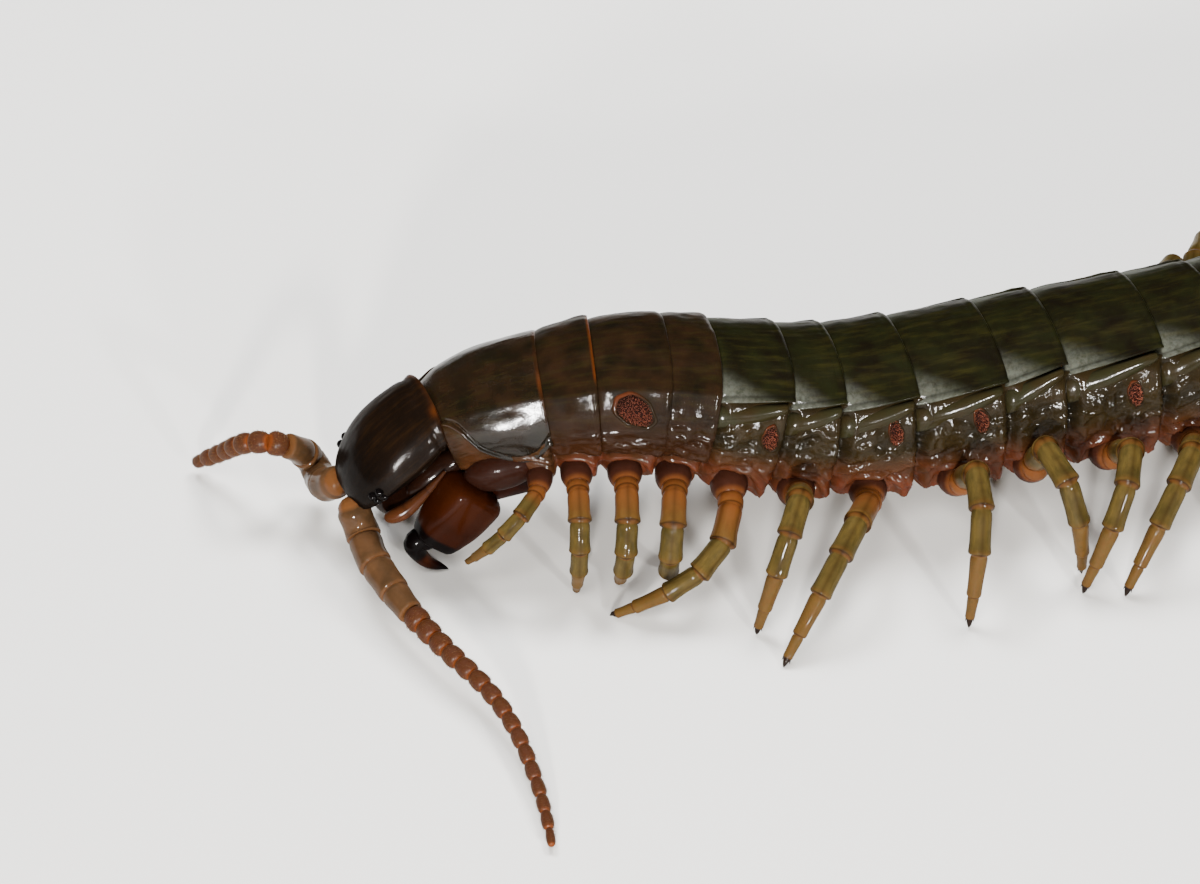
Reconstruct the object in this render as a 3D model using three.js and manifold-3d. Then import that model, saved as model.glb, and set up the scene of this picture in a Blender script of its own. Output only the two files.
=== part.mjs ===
// A giant centipede at life size, standing still: 21 pairs of legs, the fore body arched up and the head
// bent down. Millimetres, +Z up, head towards -X, the animal's left side towards -Y.
import * as THREE from "three";
import { mergeVertices } from "three/addons/utils/BufferGeometryUtils.js";
import Module from "manifold-3d";

const wasm = await Module();
wasm.setup();

// Gap that neighbouring pieces keep, and the room cut for a neighbour, which allows for flat faces.
const GAP = 0.3;
const ROOM = 0.36;

// Length of each tergite, head to tail: long and short ones take turns, 7 and 8 are both long.
const TERGITE_LENGTHS = [
  9.2, 4.1, 5.4, 3.9, 6.4, 5.0, 7.0, 8.1, 5.6, 8.8, 6.3, 9.0, 6.4, 9.0, 6.4, 8.8, 6.2, 8.3, 5.8, 7.3, 5.4,
];
const SEGMENTS = TERGITE_LENGTHS.length;
// Segments whose sides carry a pair of spiracles.
const SPIRACLE_SEGMENTS = [3, 5, 7, 8, 10, 12, 14, 16, 18, 20];
// The trunk's separate lengths: first and last segment of each.
const TRUNK_LENGTHS = [[1, 1], [2, 4], [5, 7], [8, 9], [10, 11], [12, 13], [14, 16], [17, 19], [20, 21]];

// Curves along the body. Each knot is [mm behind the neck, value].
const HEADING = [[-12, 25], [-4, 23], [0, 13], [4, 8], [10, 5], [20, 7], [30, 10], [40, 13], [50, 14],
  [66, 15], [86, 28], [106, 36], [126, 24], [148, 4]];
const PITCH = [[-12, 31], [-3, 30], [0, 20], [3, 13], [8, 11], [12, 6], [16, -3], [21, -12], [30, -13],
  [37, -4], [43, 0.6], [66, 1.0], [80, 0], [148, -1]];
const WIDTH = [[0, 9.4], [3, 10.4], [8, 11.6], [13, 13.0], [20, 13.8], [30, 14.6], [45, 15.2], [60, 15.4],
  [100, 15.4], [120, 14.4], [136, 12.6], [147, 10.4]];
const BACK_HEIGHT = [[0, 4.7], [4, 5.2], [9, 5.7], [16, 6.2], [30, 6.5], [45, 6.7], [100, 6.7], [120, 6.2],
  [136, 5.2], [147, 4.0]];
const BELLY_DEPTH = [[0, 2.6], [5, 3.0], [9, 4.8], [14, 5.2], [30, 5.9], [45, 6.2], [100, 6.2], [120, 5.7],
  [136, 4.7], [147, 3.4]];

// The middle of the trunk's line here is set at this height and place, before the whole is centred.
const REST_AT = 39.8;
const REST_POINT = new THREE.Vector3(25.0, -8.1, 9.9);

const RAD = Math.PI / 180;

// A smooth curve through knots, each knot's slope taken from its neighbours.
function through(knots, x) {
  const last = knots.length - 1;
  if (x <= knots[0][0]) return knots[0][1];
  if (x >= knots[last][0]) return knots[last][1];
  let i = 0;
  while (x > knots[i + 1][0]) i++;
  const slope = (j) => {
    const [xa, ya] = knots[Math.max(j - 1, 0)];
    const [xb, yb] = knots[Math.min(j + 1, last)];
    return (yb - ya) / (xb - xa);
  };
  const [x0, y0] = knots[i];
  const [x1, y1] = knots[i + 1];
  const w = x1 - x0;
  const t = (x - x0) / w;
  const u = 1 - t;
  return y0 * u * u * (1 + 2 * t) + y1 * t * t * (3 - 2 * t) + w * t * u * (slope(i) * u - slope(i + 1) * t);
}

// The trunk's mid line, and the frame on it: t to the tail, l to the animal's left, n to its back.
const tergiteStart = (i) => TERGITE_LENGTHS.slice(0, i - 1).reduce((a, b) => a + b, 0);
const TRUNK_LENGTH = tergiteStart(SEGMENTS + 1);
const SPINE_STEP = 0.25;
const SPINE_START = -13;

function directionAt(s) {
  const a = through(HEADING, s) * RAD;
  const b = through(PITCH, s) * RAD;
  return new THREE.Vector3(Math.cos(a) * Math.cos(b), Math.sin(a) * Math.cos(b), Math.sin(b));
}

const spine = [new THREE.Vector3()];
for (let s = SPINE_START; s < TRUNK_LENGTH + 4; s += SPINE_STEP)
  spine.push(spine.at(-1).clone().addScaledVector(directionAt(s + SPINE_STEP / 2), SPINE_STEP));

function spinePoint(s) {
  const k = (s - SPINE_START) / SPINE_STEP;
  const i = Math.floor(k);
  return spine[i].clone().lerp(spine[i + 1], k - i);
}

const shift = REST_POINT.clone().sub(spinePoint(REST_AT));

function frameAt(s) {
  const a = through(HEADING, s) * RAD;
  const t = directionAt(s);
  const l = new THREE.Vector3(Math.sin(a), -Math.cos(a), 0);
  return { origin: spinePoint(s).add(shift), t, l, n: new THREE.Vector3().crossVectors(l, t) };
}

// A point u to the left, v to the back and f to the head of a frame's origin.
const place = (frame, u, v, f = 0) =>
  frame.origin.clone().addScaledVector(frame.l, u).addScaledVector(frame.n, v).addScaledVector(frame.t, -f);

// A closed body through rings of equal length. A ring of one point is a tip, and open ends get a flat fan.
function loft(rings) {
  const points = [];
  const starts = rings.map((ring) => points.push(...ring) - ring.length);
  const faces = [];
  const sides = Math.max(...rings.map((ring) => ring.length));
  for (let k = 0; k + 1 < rings.length; k++)
    for (let i = 0; i < sides; i++) {
      const j = (i + 1) % sides;
      const corners = [[k, i], [k, j], [k + 1, j], [k + 1, i]];
      const [a, b, c, d] = corners.map(([r, q]) => starts[r] + (q % rings[r].length));
      if (a !== b) faces.push([a, b, c]);
      if (c !== d) faces.push([a, c, d]);
    }
  for (const [k, turned] of [[0, true], [rings.length - 1, false]]) {
    if (rings[k].length === 1) continue;
    const middle = new THREE.Vector3();
    rings[k].forEach((p) => middle.add(p));
    const centre = points.push(middle.divideScalar(sides)) - 1;
    for (let i = 0; i < sides; i++) {
      const a = starts[k] + i;
      const b = starts[k] + ((i + 1) % sides);
      faces.push(turned ? [centre, b, a] : [centre, a, b]);
    }
  }
  return closed(points, faces);
}

// Points and faces as a solid whose faces point out.
function closed(points, faces) {
  let volume = 0;
  const corner = new THREE.Vector3();
  for (const [a, b, c] of faces) volume += points[a].dot(corner.crossVectors(points[b], points[c]));
  const turned = volume < 0 ? faces.map(([a, b, c]) => [a, c, b]) : faces;
  const geometry = new THREE.BufferGeometry().setFromPoints(points).setIndex(turned.flat());
  return solidOf(geometry);
}

function solidOf(geometry) {
  geometry.deleteAttribute("normal");
  geometry.deleteAttribute("uv");
  const merged = mergeVertices(geometry, 1e-4);
  return new wasm.Manifold(
    new wasm.Mesh({
      numProp: 3,
      vertProperties: merged.attributes.position.array,
      triVerts: new Uint32Array(merged.index.array),
    }),
  );
}

// The largest closed body of a solid, as a geometry with flat faces.
function geometryOf(solid) {
  const pieces = solid.decompose().sort((a, b) => b.volume() - a.volume());
  const mesh = pieces[0].getMesh();
  const geometry = new THREE.BufferGeometry();
  const count = mesh.numVert;
  const positions = new Float32Array(count * 3);
  for (let i = 0; i < count; i++)
    for (let k = 0; k < 3; k++) positions[3 * i + k] = mesh.vertProperties[i * mesh.numProp + k];
  geometry.setAttribute("position", new THREE.BufferAttribute(positions, 3));
  geometry.setIndex(new THREE.BufferAttribute(new Uint32Array(mesh.triVerts), 1));
  return geometry;
}

// A round ring of the given radii about a centre, square to an axis.
function ringAcross(centre, axis, side, ru, rv, sides, turn = 0) {
  const u = side.clone().addScaledVector(axis, -side.dot(axis) / axis.lengthSq()).normalize();
  const v = new THREE.Vector3().crossVectors(axis, u).normalize();
  return Array.from({ length: sides }, (_, i) => {
    const a = ((i + turn) / sides) * 2 * Math.PI;
    return centre.clone().addScaledVector(u, ru * Math.cos(a)).addScaledVector(v, rv * Math.sin(a));
  });
}

// Trunk. Half of its cross-section, back to belly: [share of the width, of the height, what it follows].
const TRUNK_OUTLINE = [
  [0, 1, "back"],
  [0.15, 0.985, "back"],
  [0.28, 0.945, "back"],
  [0.385, 0.87, "back"],
  [0.4, 0.8, "side"],
  [0.478, 0.64, "side"],
  [0.5, 0.47, "side"],
  [0.485, 0.31, "side"],
  [0.42, 0.15, "side"],
  [0.27, 0.0, "belly"],
  [0.09, 0.0, "belly"],
];
// Each segment's rings: [share of its length, how far back, side and belly stand out in mm].
const SEGMENT_RINGS = [
  [0, -0.5, -0.75, -0.35],
  [0.28, -0.2, 0.05, 0],
  [0.72, 0.08, 0.1, 0],
  [1, 0.2, -0.55, -0.25],
];

function trunkRing(s, back, side, belly) {
  const frame = frameAt(s);
  const width = through(WIDTH, s);
  const top = through(BACK_HEIGHT, s);
  const bottom = -through(BELLY_DEPTH, s);
  const half = TRUNK_OUTLINE.map(([wide, high, zone]) => {
    const out = zone === "back" ? back : zone === "side" ? side : 0;
    const u = wide * (width + 2 * out);
    const v = bottom + high * (top - bottom) + (zone === "back" ? back : zone === "belly" ? -belly : 0);
    return [u, v];
  });
  const right = half.slice(1).reverse().map(([u, v]) => [-u, v]);
  return [...half, ...right].map(([u, v]) => place(frame, u, v));
}

// The rings of a run of segments, which keeps half a gap clear at each end.
function trunkLoft(first, last) {
  const rings = [];
  for (let i = first; i <= last; i++) {
    const start = tergiteStart(i) + GAP / 2;
    const length = TERGITE_LENGTHS[i - 1] - GAP;
    for (const [share, back, side, belly] of SEGMENT_RINGS) {
      const fade = i === SEGMENTS && share === 1 ? 0.5 : 1;
      rings.push(trunkRing(start + share * length, back * fade, side * fade, belly * fade));
    }
  }
  return loft(rings);
}

// Legs. Shares of a leg's length, and radius at each article's start and end as shares of the thickest.
const LEG_ARTICLES = [
  { name: "trochanter", length: 0.05, from: 1.0, to: 1.0 },
  { name: "prefemur", length: 0.215, from: 0.9, to: 1.0 },
  { name: "femur", length: 0.195, from: 0.82, to: 0.9 },
  { name: "tibia", length: 0.195, from: 0.72, to: 0.78 },
  { name: "tarsus1", length: 0.195, from: 0.62, to: 0.5 },
  { name: "tarsus2", length: 0.11, from: 0.42, to: 0.34 },
  { name: "claw", length: 0.04, from: 0.24, to: 0.2 },
];
const LEG_BENDS = [0, 0.45, 1.1, 0.9, 0.4, 0.15, 0.1];
const LEG_SIDES = 6;
const FOOT_FLAT = 0.25;
// Where a leg leaves its segment: share of the tergite's length, of the trunk's width and of its height.
const USUAL_HIP = [0.45, 0.43, 0.16];
const FIRST_HIP = [0.84, 0.47, 0.12];
// The coxa points out and a little down; the leg joins its end.
const COXA_LENGTH = 2.1;
const COXA_DROOP = 0.3;
const COXA_TURN = 0.8;
const COXA_SINK = 2.4;
const COXA_SIDES = 6;

// Length and thickness of the legs by pair.
const LEG_LENGTH = [[1, 11.3], [2, 13.6], [4, 15.4], [5, 17], [7, 19.8], [12, 20], [18, 21], [20, 23],
  [21, 29]];
const LEG_THICK = [[1, 1.6], [2, 2.0], [5, 2.35], [12, 2.45], [20, 2.5], [21, 2.7]];

// How each foot stands: [degrees it swings towards the tail, reach from the root in mm, degrees its knee
// leans out]. The left ones are as the photograph shows them.
const LEFT_STANCE = [
  [-64, 7.7, 62], [-5, 4.6, 50], [-14, 3.4, 50], [-20, 1.8, 20], [-59, 13.4, 95], [-27, 12.2, 30],
  [-37, 18.7, 30], [-11, 13.7, 35], [13, 9.4, 50], [-26, 12.9, 40], [-39, 16.3, 25],
];
const RIGHT_STANCE = [
  [-61, 7.7, 60], [-12, 5.0, 50], [-4, 4.6, 50], [12, 6.4, 30], [50, 15.4, 0], [54, 17.2, 0],
  [56, 18.2, 0], [56, 18.4, 0], [54, 18.4, 0], [50, 18.2, 0], [44, 17.8, 0],
];
const USUAL_LEAN = 25;
// The first pair is held up at the mouth, its tips this high.
const FIRST_TIPS = 3.0;

// Pairs after the listed ones follow the gait: a wave that runs along each side and fades to the tail.
const WAVES = { left: { middle: -6, swing: -33, period: 9.5 }, right: { middle: 25, swing: 19, period: 9 } };
const WAVE_DRIFT = 1.6;
const WAVE_FADE = 22;
const WAVE_REACH = 15.6;
const LAST_STANCE = [60, 25.5, 0];

function stance(pair, left) {
  const listed = left ? LEFT_STANCE : RIGHT_STANCE;
  if (pair <= listed.length) return listed[pair - 1];
  if (pair === SEGMENTS) return LAST_STANCE;
  const { middle, swing, period } = WAVES[left ? "left" : "right"];
  const n = pair - listed.length;
  const wave = swing * (1 - n / WAVE_FADE) * Math.cos((2 * Math.PI * n) / period);
  return [middle + WAVE_DRIFT * n + wave, WAVE_REACH, USUAL_LEAN];
}

// Bends a chain of articles, spread over its joints by LEG_BENDS, until its ends are a chord apart.
// Gives each article's direction as an angle from the chord, found by halving.
function bendLeg(lengths, chord) {
  const chain = (bend) => {
    let angle = 0;
    let x = 0;
    let y = 0;
    const angles = lengths.map((length, k) => {
      angle -= bend * LEG_BENDS[k];
      x += length * Math.cos(angle);
      y += length * Math.sin(angle);
      return angle;
    });
    return { angles, x, y };
  };
  let low = 0;
  let high = 1.6;
  for (let k = 0; k < 40; k++) {
    const middle = (low + high) / 2;
    const { x, y } = chain(middle);
    if (Math.hypot(x, y) > chord) low = middle;
    else high = middle;
  }
  const { angles, x, y } = chain(low);
  return angles.map((angle) => angle - Math.atan2(y, x));
}

// Everything about one leg's place: root in the trunk, hip, foot and article directions.
function legPlan(pair, left) {
  const hand = left ? 1 : -1;
  const [along, outside, up] = pair === 1 ? FIRST_HIP : USUAL_HIP;
  const s = tergiteStart(pair) + along * TERGITE_LENGTHS[pair - 1];
  const frame = frameAt(s);
  const top = through(BACK_HEIGHT, s);
  const bottom = -through(BELLY_DEPTH, s);
  const [swing, reach, lean] = stance(pair, left);
  const outward = frame.l.clone().multiplyScalar(hand);
  const back = new THREE.Vector3(frame.t.x, frame.t.y, 0).normalize();
  const root = place(frame, hand * outside * through(WIDTH, s), bottom + up * (top - bottom));
  const foot = root.clone().setZ(pair === 1 ? FIRST_TIPS : 0);
  foot.addScaledVector(outward, reach * Math.cos(swing * RAD));
  foot.addScaledVector(back, reach * Math.sin(swing * RAD));
  const total = through(LEG_LENGTH, pair);
  const lengths = LEG_ARTICLES.map((article) => article.length * total);
  // The coxa turns part of the way to the leg's first article, which depends on where the coxa ends.
  const coxa = outward.clone().setZ(-COXA_DROOP).normalize();
  const hip = new THREE.Vector3();
  const chord = new THREE.Vector3();
  const lift = new THREE.Vector3();
  let directions = [];
  for (let round = 0; round < 4; round++) {
    hip.copy(root).addScaledVector(coxa, COXA_LENGTH);
    chord.copy(foot).sub(hip).addScaledVector(coxa, -GAP);
    const angles = bendLeg(lengths, chord.length());
    chord.normalize();
    lift.copy(outward).multiplyScalar(Math.sin(lean * RAD)).setZ(Math.cos(lean * RAD));
    lift.addScaledVector(chord, -lift.dot(chord)).normalize();
    directions = angles.map((angle) =>
      chord.clone().multiplyScalar(Math.cos(angle)).addScaledVector(lift, Math.sin(angle)));
    coxa.copy(outward).setZ(-COXA_DROOP).addScaledVector(directions[0], COXA_TURN).normalize();
  }
  hip.copy(root).addScaledVector(coxa, COXA_LENGTH);
  const side = new THREE.Vector3().crossVectors(chord, lift);
  return { pair, left, root, hip, foot, coxa, side, directions, lengths, thick: through(LEG_THICK, pair) };
}

function legSolid(plan) {
  const { pair, hip, coxa, side, directions, lengths, thick } = plan;
  const radius = thick / 2;
  const joint = hip.clone().addScaledVector(coxa, GAP);
  const rings = [ringAcross(joint, coxa, side, radius, radius, LEG_SIDES)];
  LEG_ARTICLES.forEach(({ name, to }, k) => {
    joint.addScaledVector(directions[k], lengths[k]);
    if (name === "claw") return;
    const across = directions[k].clone().add(directions[k + 1]).normalize();
    const ring = (direction, distance, r) => {
      const centre = joint.clone().addScaledVector(direction, distance);
      rings.push(ringAcross(centre, across, side, r, r, LEG_SIDES));
    };
    if (["prefemur", "femur", "tibia"].includes(name)) ring(directions[k], -0.02 * lengths[k], radius * to);
    ring(directions[k + 1], 0.06 * lengths[k + 1], radius * LEG_ARTICLES[k + 1].from);
  });
  const end = pair === 1 ? directions.at(-1) : new THREE.Vector3(0, 0, -1);
  rings.push(ringAcross(pair === 1 ? joint : joint.setZ(0), end, side, FOOT_FLAT, FOOT_FLAT, LEG_SIDES));
  return loft(rings);
}

function coxaSolid(plan) {
  const { root, coxa, hip, side, thick } = plan;
  const radius = thick / 2;
  const at = (centre, r) => ringAcross(centre, coxa, side, r, r, COXA_SIDES);
  return loft([
    at(root.clone().addScaledVector(coxa, -COXA_SINK), radius * 1.3),
    at(root.clone().addScaledVector(coxa, COXA_LENGTH * 0.4), radius * 1.6),
    at(hip, radius * 1.1),
  ]);
}

// Spiracles: an oval rim on each side, in mm, its face turned up by the tilt in degrees.
const SPIRACLE = { wide: 1.1, tall: 1.5, proud: 0.25, deep: 1.0, tilt: 18 };
// Where they sit: [share of the segment's length, of the trunk's height, size].
const USUAL_SPIRACLE = [0.7, 0.66, 0.85];
const THIRD_SPIRACLE = [0.55, 0.74, 1.35];

function spiracleSolid(segment, left) {
  const hand = left ? 1 : -1;
  const [along, high, size] = segment === SPIRACLE_SEGMENTS[0] ? THIRD_SPIRACLE : USUAL_SPIRACLE;
  const s = tergiteStart(segment) + along * TERGITE_LENGTHS[segment - 1];
  const frame = frameAt(s);
  const bottom = -through(BELLY_DEPTH, s);
  const below = TRUNK_OUTLINE.findIndex(([, share]) => share < high);
  const [[wide0, high0], [wide1, high1]] = TRUNK_OUTLINE.slice(below - 1, below + 1);
  const wide = wide0 + ((high - high0) / (high1 - high0)) * (wide1 - wide0);
  const up = bottom + high * (through(BACK_HEIGHT, s) - bottom);
  const centre = place(frame, hand * wide * through(WIDTH, s), up);
  const axis = frame.l.clone().multiplyScalar(hand * Math.cos(SPIRACLE.tilt * RAD));
  axis.addScaledVector(frame.n, Math.sin(SPIRACLE.tilt * RAD));
  const at = (out, share) => {
    const [ru, rv] = [SPIRACLE.wide * size * share, SPIRACLE.tall * size * share];
    return ringAcross(centre.clone().addScaledVector(axis, out), axis, frame.t, ru, rv, 6);
  };
  return loft([at(-SPIRACLE.deep, 1), at(SPIRACLE.proud, 0.95)]);
}

// A solid with its faces moved out by a distance.
function grown(solid, distance) {
  const mesh = solid.getMesh();
  const points = [];
  for (let i = 0; i < mesh.numVert; i++)
    points.push(new THREE.Vector3().fromArray(mesh.vertProperties, i * mesh.numProp));
  const faces = [];
  const around = points.map(() => []);
  for (let i = 0; i < mesh.triVerts.length; i += 3) {
    const face = Array.from(mesh.triVerts.slice(i, i + 3));
    const [a, b, c] = face.map((k) => points[k]);
    const normal = new THREE.Vector3().crossVectors(b.clone().sub(a), c.clone().sub(a)).normalize();
    faces.push(face);
    face.forEach((k) => around[k].push(normal));
  }
  const moved = points.map((p, k) => {
    const normal = new THREE.Vector3();
    around[k].forEach((n) => normal.add(n));
    normal.normalize();
    const least = Math.min(...around[k].map((n) => n.dot(normal)));
    return p.clone().addScaledVector(normal, distance / Math.max(least, 0.55));
  });
  return closed(moved, faces);
}

// Head. Its own stiff frame at the neck: u left, v up, f forward.
const HEAD_BEND_AT = -5;
const HEAD_RISE = 2.1;
const headBase = frameAt(0);
const headFrame = frameAt(HEAD_BEND_AT);
headFrame.origin = headBase.origin.clone().addScaledVector(headBase.n, HEAD_RISE);
const inHead = (u, v, f) => place(headFrame, u, v, f);

const HEAD_OUTLINE = [
  [0, 1], [0.2, 0.965], [0.36, 0.85], [0.465, 0.66], [0.5, 0.47], [0.46, 0.3], [0.36, 0.1], [0.16, 0],
];
// [mm ahead of the neck, value]
const HEAD_WIDTH = [[0.3, 8.4], [2.5, 9.2], [5, 9.4], [7.4, 8.7], [9.2, 7.2], [10.4, 5.2]];
const HEAD_TOP = [[0.3, 3.3], [2.5, 3.6], [5, 3.4], [7.4, 2.6], [9.2, 1.5], [10.4, 0.3]];
const HEAD_BOTTOM = [[0.3, -2.2], [3, -2.4], [7.4, -2.3], [9.2, -2.1], [10.4, -1.6]];
const HEAD_RINGS = [0.3, 1.1, 3.0, 5.2, 7.2, 8.8, 9.9, 10.4];
// The head's rear face leans back to lie along the trunk's first face.
const HEAD_LEAN = 22;

function headSolid() {
  const rings = HEAD_RINGS.map((f) => {
    const width = through(HEAD_WIDTH, f);
    const top = through(HEAD_TOP, f);
    const bottom = through(HEAD_BOTTOM, f);
    const lean = Math.tan(Math.max(0, 1 - f / 5) * HEAD_LEAN * RAD);
    const half = HEAD_OUTLINE.map(([wide, high]) => [wide * width, bottom + high * (top - bottom)]);
    const all = [...half, ...half.slice(1).reverse().map(([u, v]) => [-u, v])];
    return all.map(([u, v]) => inHead(u, v, f - v * lean));
  });
  return loft(rings);
}

// A round body along a curve through points, with radii given by knots [share of the length, mm].
function horn(points, radii, rings, sides, side) {
  const curve = new THREE.CatmullRomCurve3(points);
  return loft(
    Array.from({ length: rings }, (_, k) => {
      const t = k / (rings - 1);
      const r = through(radii, t);
      return ringAcross(curve.getPointAt(t), curve.getTangentAt(t), side, r, r, sides);
    }),
  );
}

function ball(centre, radius, stretch, frame, across = 8, high = 6) {
  const sphere = new THREE.SphereGeometry(radius, across, high);
  const [u, v, f] = stretch;
  const axes = [frame.l.clone().multiplyScalar(u), frame.n.clone().multiplyScalar(v)];
  const basis = new THREE.Matrix4().makeBasis(...axes, frame.t.clone().multiplyScalar(-f));
  basis.setPosition(centre);
  sphere.applyMatrix4(basis);
  return solidOf(sphere);
}

// Eyes: four small domes in a cluster on each side of the head plate's front corner.
const OCELLUS = 0.42;
const OCELLI = [[8.4, 0.5], [7.7, 0.65], [8.3, -0.15], [7.6, -0.05]];

function eyeSolid(hand, grow = 0) {
  return wasm.Manifold.union(OCELLI.map(([f, v]) => {
    const width = through(HEAD_WIDTH, f);
    return ball(inHead(hand * (0.5 * width - 0.12), v, f), OCELLUS + grow, [1, 1, 1], headFrame, 6, 4);
  }));
}

// Antennae: four smooth articles, then a string of beads that thins to the tip.
// The path is [x, y, z] in the posed animal's own place.
const SMOOTH_ARTICLES = [3.0, 3.3, 3.4, 2.8];
const BEAD_LENGTH = 1.75;
const ANTENNA_SIDES = 6;
const ANTENNA_RADIUS = [[0, 1.5], [3, 1.5], [9, 1.35], [12.5, 1.1], [16, 0.95], [26, 0.72], [36, 0.55],
  [42, 0.4]];

function antennaSolid(path) {
  const curve = new THREE.CatmullRomCurve3(path);
  const total = curve.getLength();
  const rings = [];
  const at = (distance, share) => {
    const t = Math.min(distance / total, 1);
    const r = through(ANTENNA_RADIUS, distance) * share;
    const axis = curve.getTangentAt(t);
    rings.push(ringAcross(curve.getPointAt(t), axis, new THREE.Vector3(0, 0, 1), r, r, ANTENNA_SIDES));
  };
  let reached = 0;
  at(0, 0.8);
  for (const length of SMOOTH_ARTICLES) {
    at(reached + 0.3, 0.97);
    at(reached + length - 0.15, 1.03);
    reached += length;
  }
  while (reached + BEAD_LENGTH < total - 0.3) {
    at(reached + 0.12, 0.8);
    at(reached + 0.55 * BEAD_LENGTH, 1.08);
    reached += BEAD_LENGTH;
  }
  at(reached + 0.12, 0.8);
  at((reached + total) / 2, 1);
  at(total, 0.5);
  return loft(rings);
}

const ANTENNA_ROOT = [1.85, -0.9, 10.7];
const LEFT_PATH = [[-20.7, -20.2, 4.9], [-19.8, -22.8, 4.3], [-18.1, -25.8, 3.8], [-16.5, -28.4, 3.5],
  [-12.9, -33.3, 3.1], [-9.3, -37.6, 2.6], [-7, -41.8, 2.1], [-5.2, -47, 1.3], [-4.3, -50.9, 0.95],
  [-3.9, -53.6, 0.75]];
const RIGHT_PATH = [[-24.4, -13.6, 4.9], [-25.1, -10.9, 3.6], [-25.9, -9.9, 4.6], [-27.2, -11.6, 7.4],
  [-29.2, -12.4, 8.7], [-31.2, -11.6, 8], [-33.9, -8.8, 4.5], [-36.7, -6.2, 1.1]];
const pathFrom = (hand, path) => [
  inHead(hand * ANTENNA_ROOT[0], ANTENNA_ROOT[1], ANTENNA_ROOT[2]),
  ...path.map((p) => new THREE.Vector3(...p)),
];

// Forcipules: a stout block, a narrow dark joint and a curved fang. Places are [u, v, f] by the head.
const BLOCK_REAR = [5.35, -5.2, 1.2];
const BLOCK_FRONT = [5.1, -6.9, 7.4];
const BLOCK_HALF = [2.15, 2.85];
const FANG_PATH = [[5.0, -6.3, 7.2], [5.1, -5.9, 8.5], [5.3, -8.2, 8.9], [5.7, -10.3, 7.95]];
const FANG_RADIUS = [[0, 1.3], [0.25, 1.1], [0.6, 0.75], [0.85, 0.42], [1, 0.22]];

function forcipuleParts(hand) {
  const mirrored = ([u, v, f]) => inHead(hand * u, v, f);
  const rear = mirrored(BLOCK_REAR);
  const front = mirrored(BLOCK_FRONT);
  const axis = front.clone().sub(rear).normalize();
  const [wide, high] = BLOCK_HALF;
  const section = (share, size) =>
    ringAcross(rear.clone().lerp(front, share), axis, headFrame.l, wide * size, high * size, 8, 0.5);
  const sections = [[-0.05, 0.75], [0.08, 1.02], [0.5, 0.98], [0.94, 0.72], [1, 0.58]];
  const block = loft(sections.map(([share, size]) => section(share, size)));
  return [block, horn(FANG_PATH.map(mirrored), FANG_RADIUS, 9, 7, headFrame.l)];
}

// The plate under the first segment that carries the forcipules, with a rounded side lobe at each hand.
const PLATE_FROM = -1.2;
const PLATE_TO = 8.2;
const PLATE_HALF = [[0, 0], [2.4, 0], [4.2, 0.7], [4.9, 2.2], [4.3, 4.0], [0, 4.6]];

function plateParts() {
  const rings = [];
  for (let k = 0; k <= 4; k++) {
    const s = PLATE_FROM + (k / 4) * (PLATE_TO - PLATE_FROM);
    const size = k === 0 ? 0.86 : k === 4 ? 0.9 : 1;
    const all = [...PLATE_HALF, ...PLATE_HALF.slice(1, -1).reverse().map(([u, v]) => [-u, v])];
    rings.push(all.map(([u, v]) => place(frameAt(s), u * size, v * size - 7)));
  }
  const lobes = [1, -1].map((hand) =>
    ball(place(frameAt(4.2), hand * 4.6, -3.0), 1, [1.5, 1.5, 3.2], frameAt(4.2)));
  return [loft(rings), ...lobes];
}

// Mouthparts: a soft plate under the head with a feeler-like arm on each side.
const PALP_PATH = [[4.1, -2.3, 2.3], [4.2, -2.8, 4.9], [4.1, -3.05, 7.3], [3.8, -2.9, 8.5], [3.4, -2.8, 9.0]];
const PALP_RADIUS = [[0, 0.25], [0.35, 0.5], [0.75, 0.85], [1, 0.6]];

function maxillaeSolid() {
  const palps = [1, -1].map((hand) =>
    horn(PALP_PATH.map(([u, v, f]) => inHead(hand * u, v, f)), PALP_RADIUS, 7, 6, headFrame.n));
  const plate = ball(inHead(0, -3.7, 6.6), 1, [3.9, 1.3, 2.9], headFrame, 10, 6);
  return wasm.Manifold.union([plate, ...palps]);
}

const group = new THREE.Group();

function add(name, solid, color, roughness) {
  const material = new THREE.MeshStandardMaterial({ color, roughness, metalness: 0, flatShading: true });
  const mesh = new THREE.Mesh(geometryOf(solid), material);
  mesh.name = name;
  group.add(mesh);
}

const union = (parts) => wasm.Manifold.union(parts);
const roomFor = (parts) => union(parts.map((part) => grown(part, ROOM)));

const two = (n) => String(n).padStart(2, "0");

const plans = [];
for (let pair = 1; pair <= SEGMENTS; pair++) plans.push(legPlan(pair, true), legPlan(pair, false));

const lofts = TRUNK_LENGTHS.map(([first, last]) => trunkLoft(first, last));
const trunkParts = TRUNK_LENGTHS.map(([first, last], k) => {
  const parts = plans.filter(({ pair }) => pair >= first && pair <= last).map(coxaSolid);
  for (const segment of SPIRACLE_SEGMENTS)
    if (segment >= first && segment <= last)
      for (const left of [true, false]) parts.push(spiracleSolid(segment, left));
  return [lofts[k], ...parts];
});
const trunks = trunkParts.map((parts, k) => {
  let solid = union(parts);
  for (const other of [lofts[k - 1], lofts[k + 1]]) if (other) solid = solid.subtract(grown(other, ROOM));
  return solid.simplify(0.03);
});
TRUNK_LENGTHS.forEach(([first, last], k) => {
  const name = first === last ? `trunk_${two(first)}` : `trunk_${two(first)}_${two(last)}`;
  add(name, trunks[k], "#2f3019", 0.3);
});

for (const plan of plans) {
  add(`leg_${plan.left ? "left" : "right"}_${two(plan.pair)}`, legSolid(plan), "#6f6d33", 0.35);
}

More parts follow.
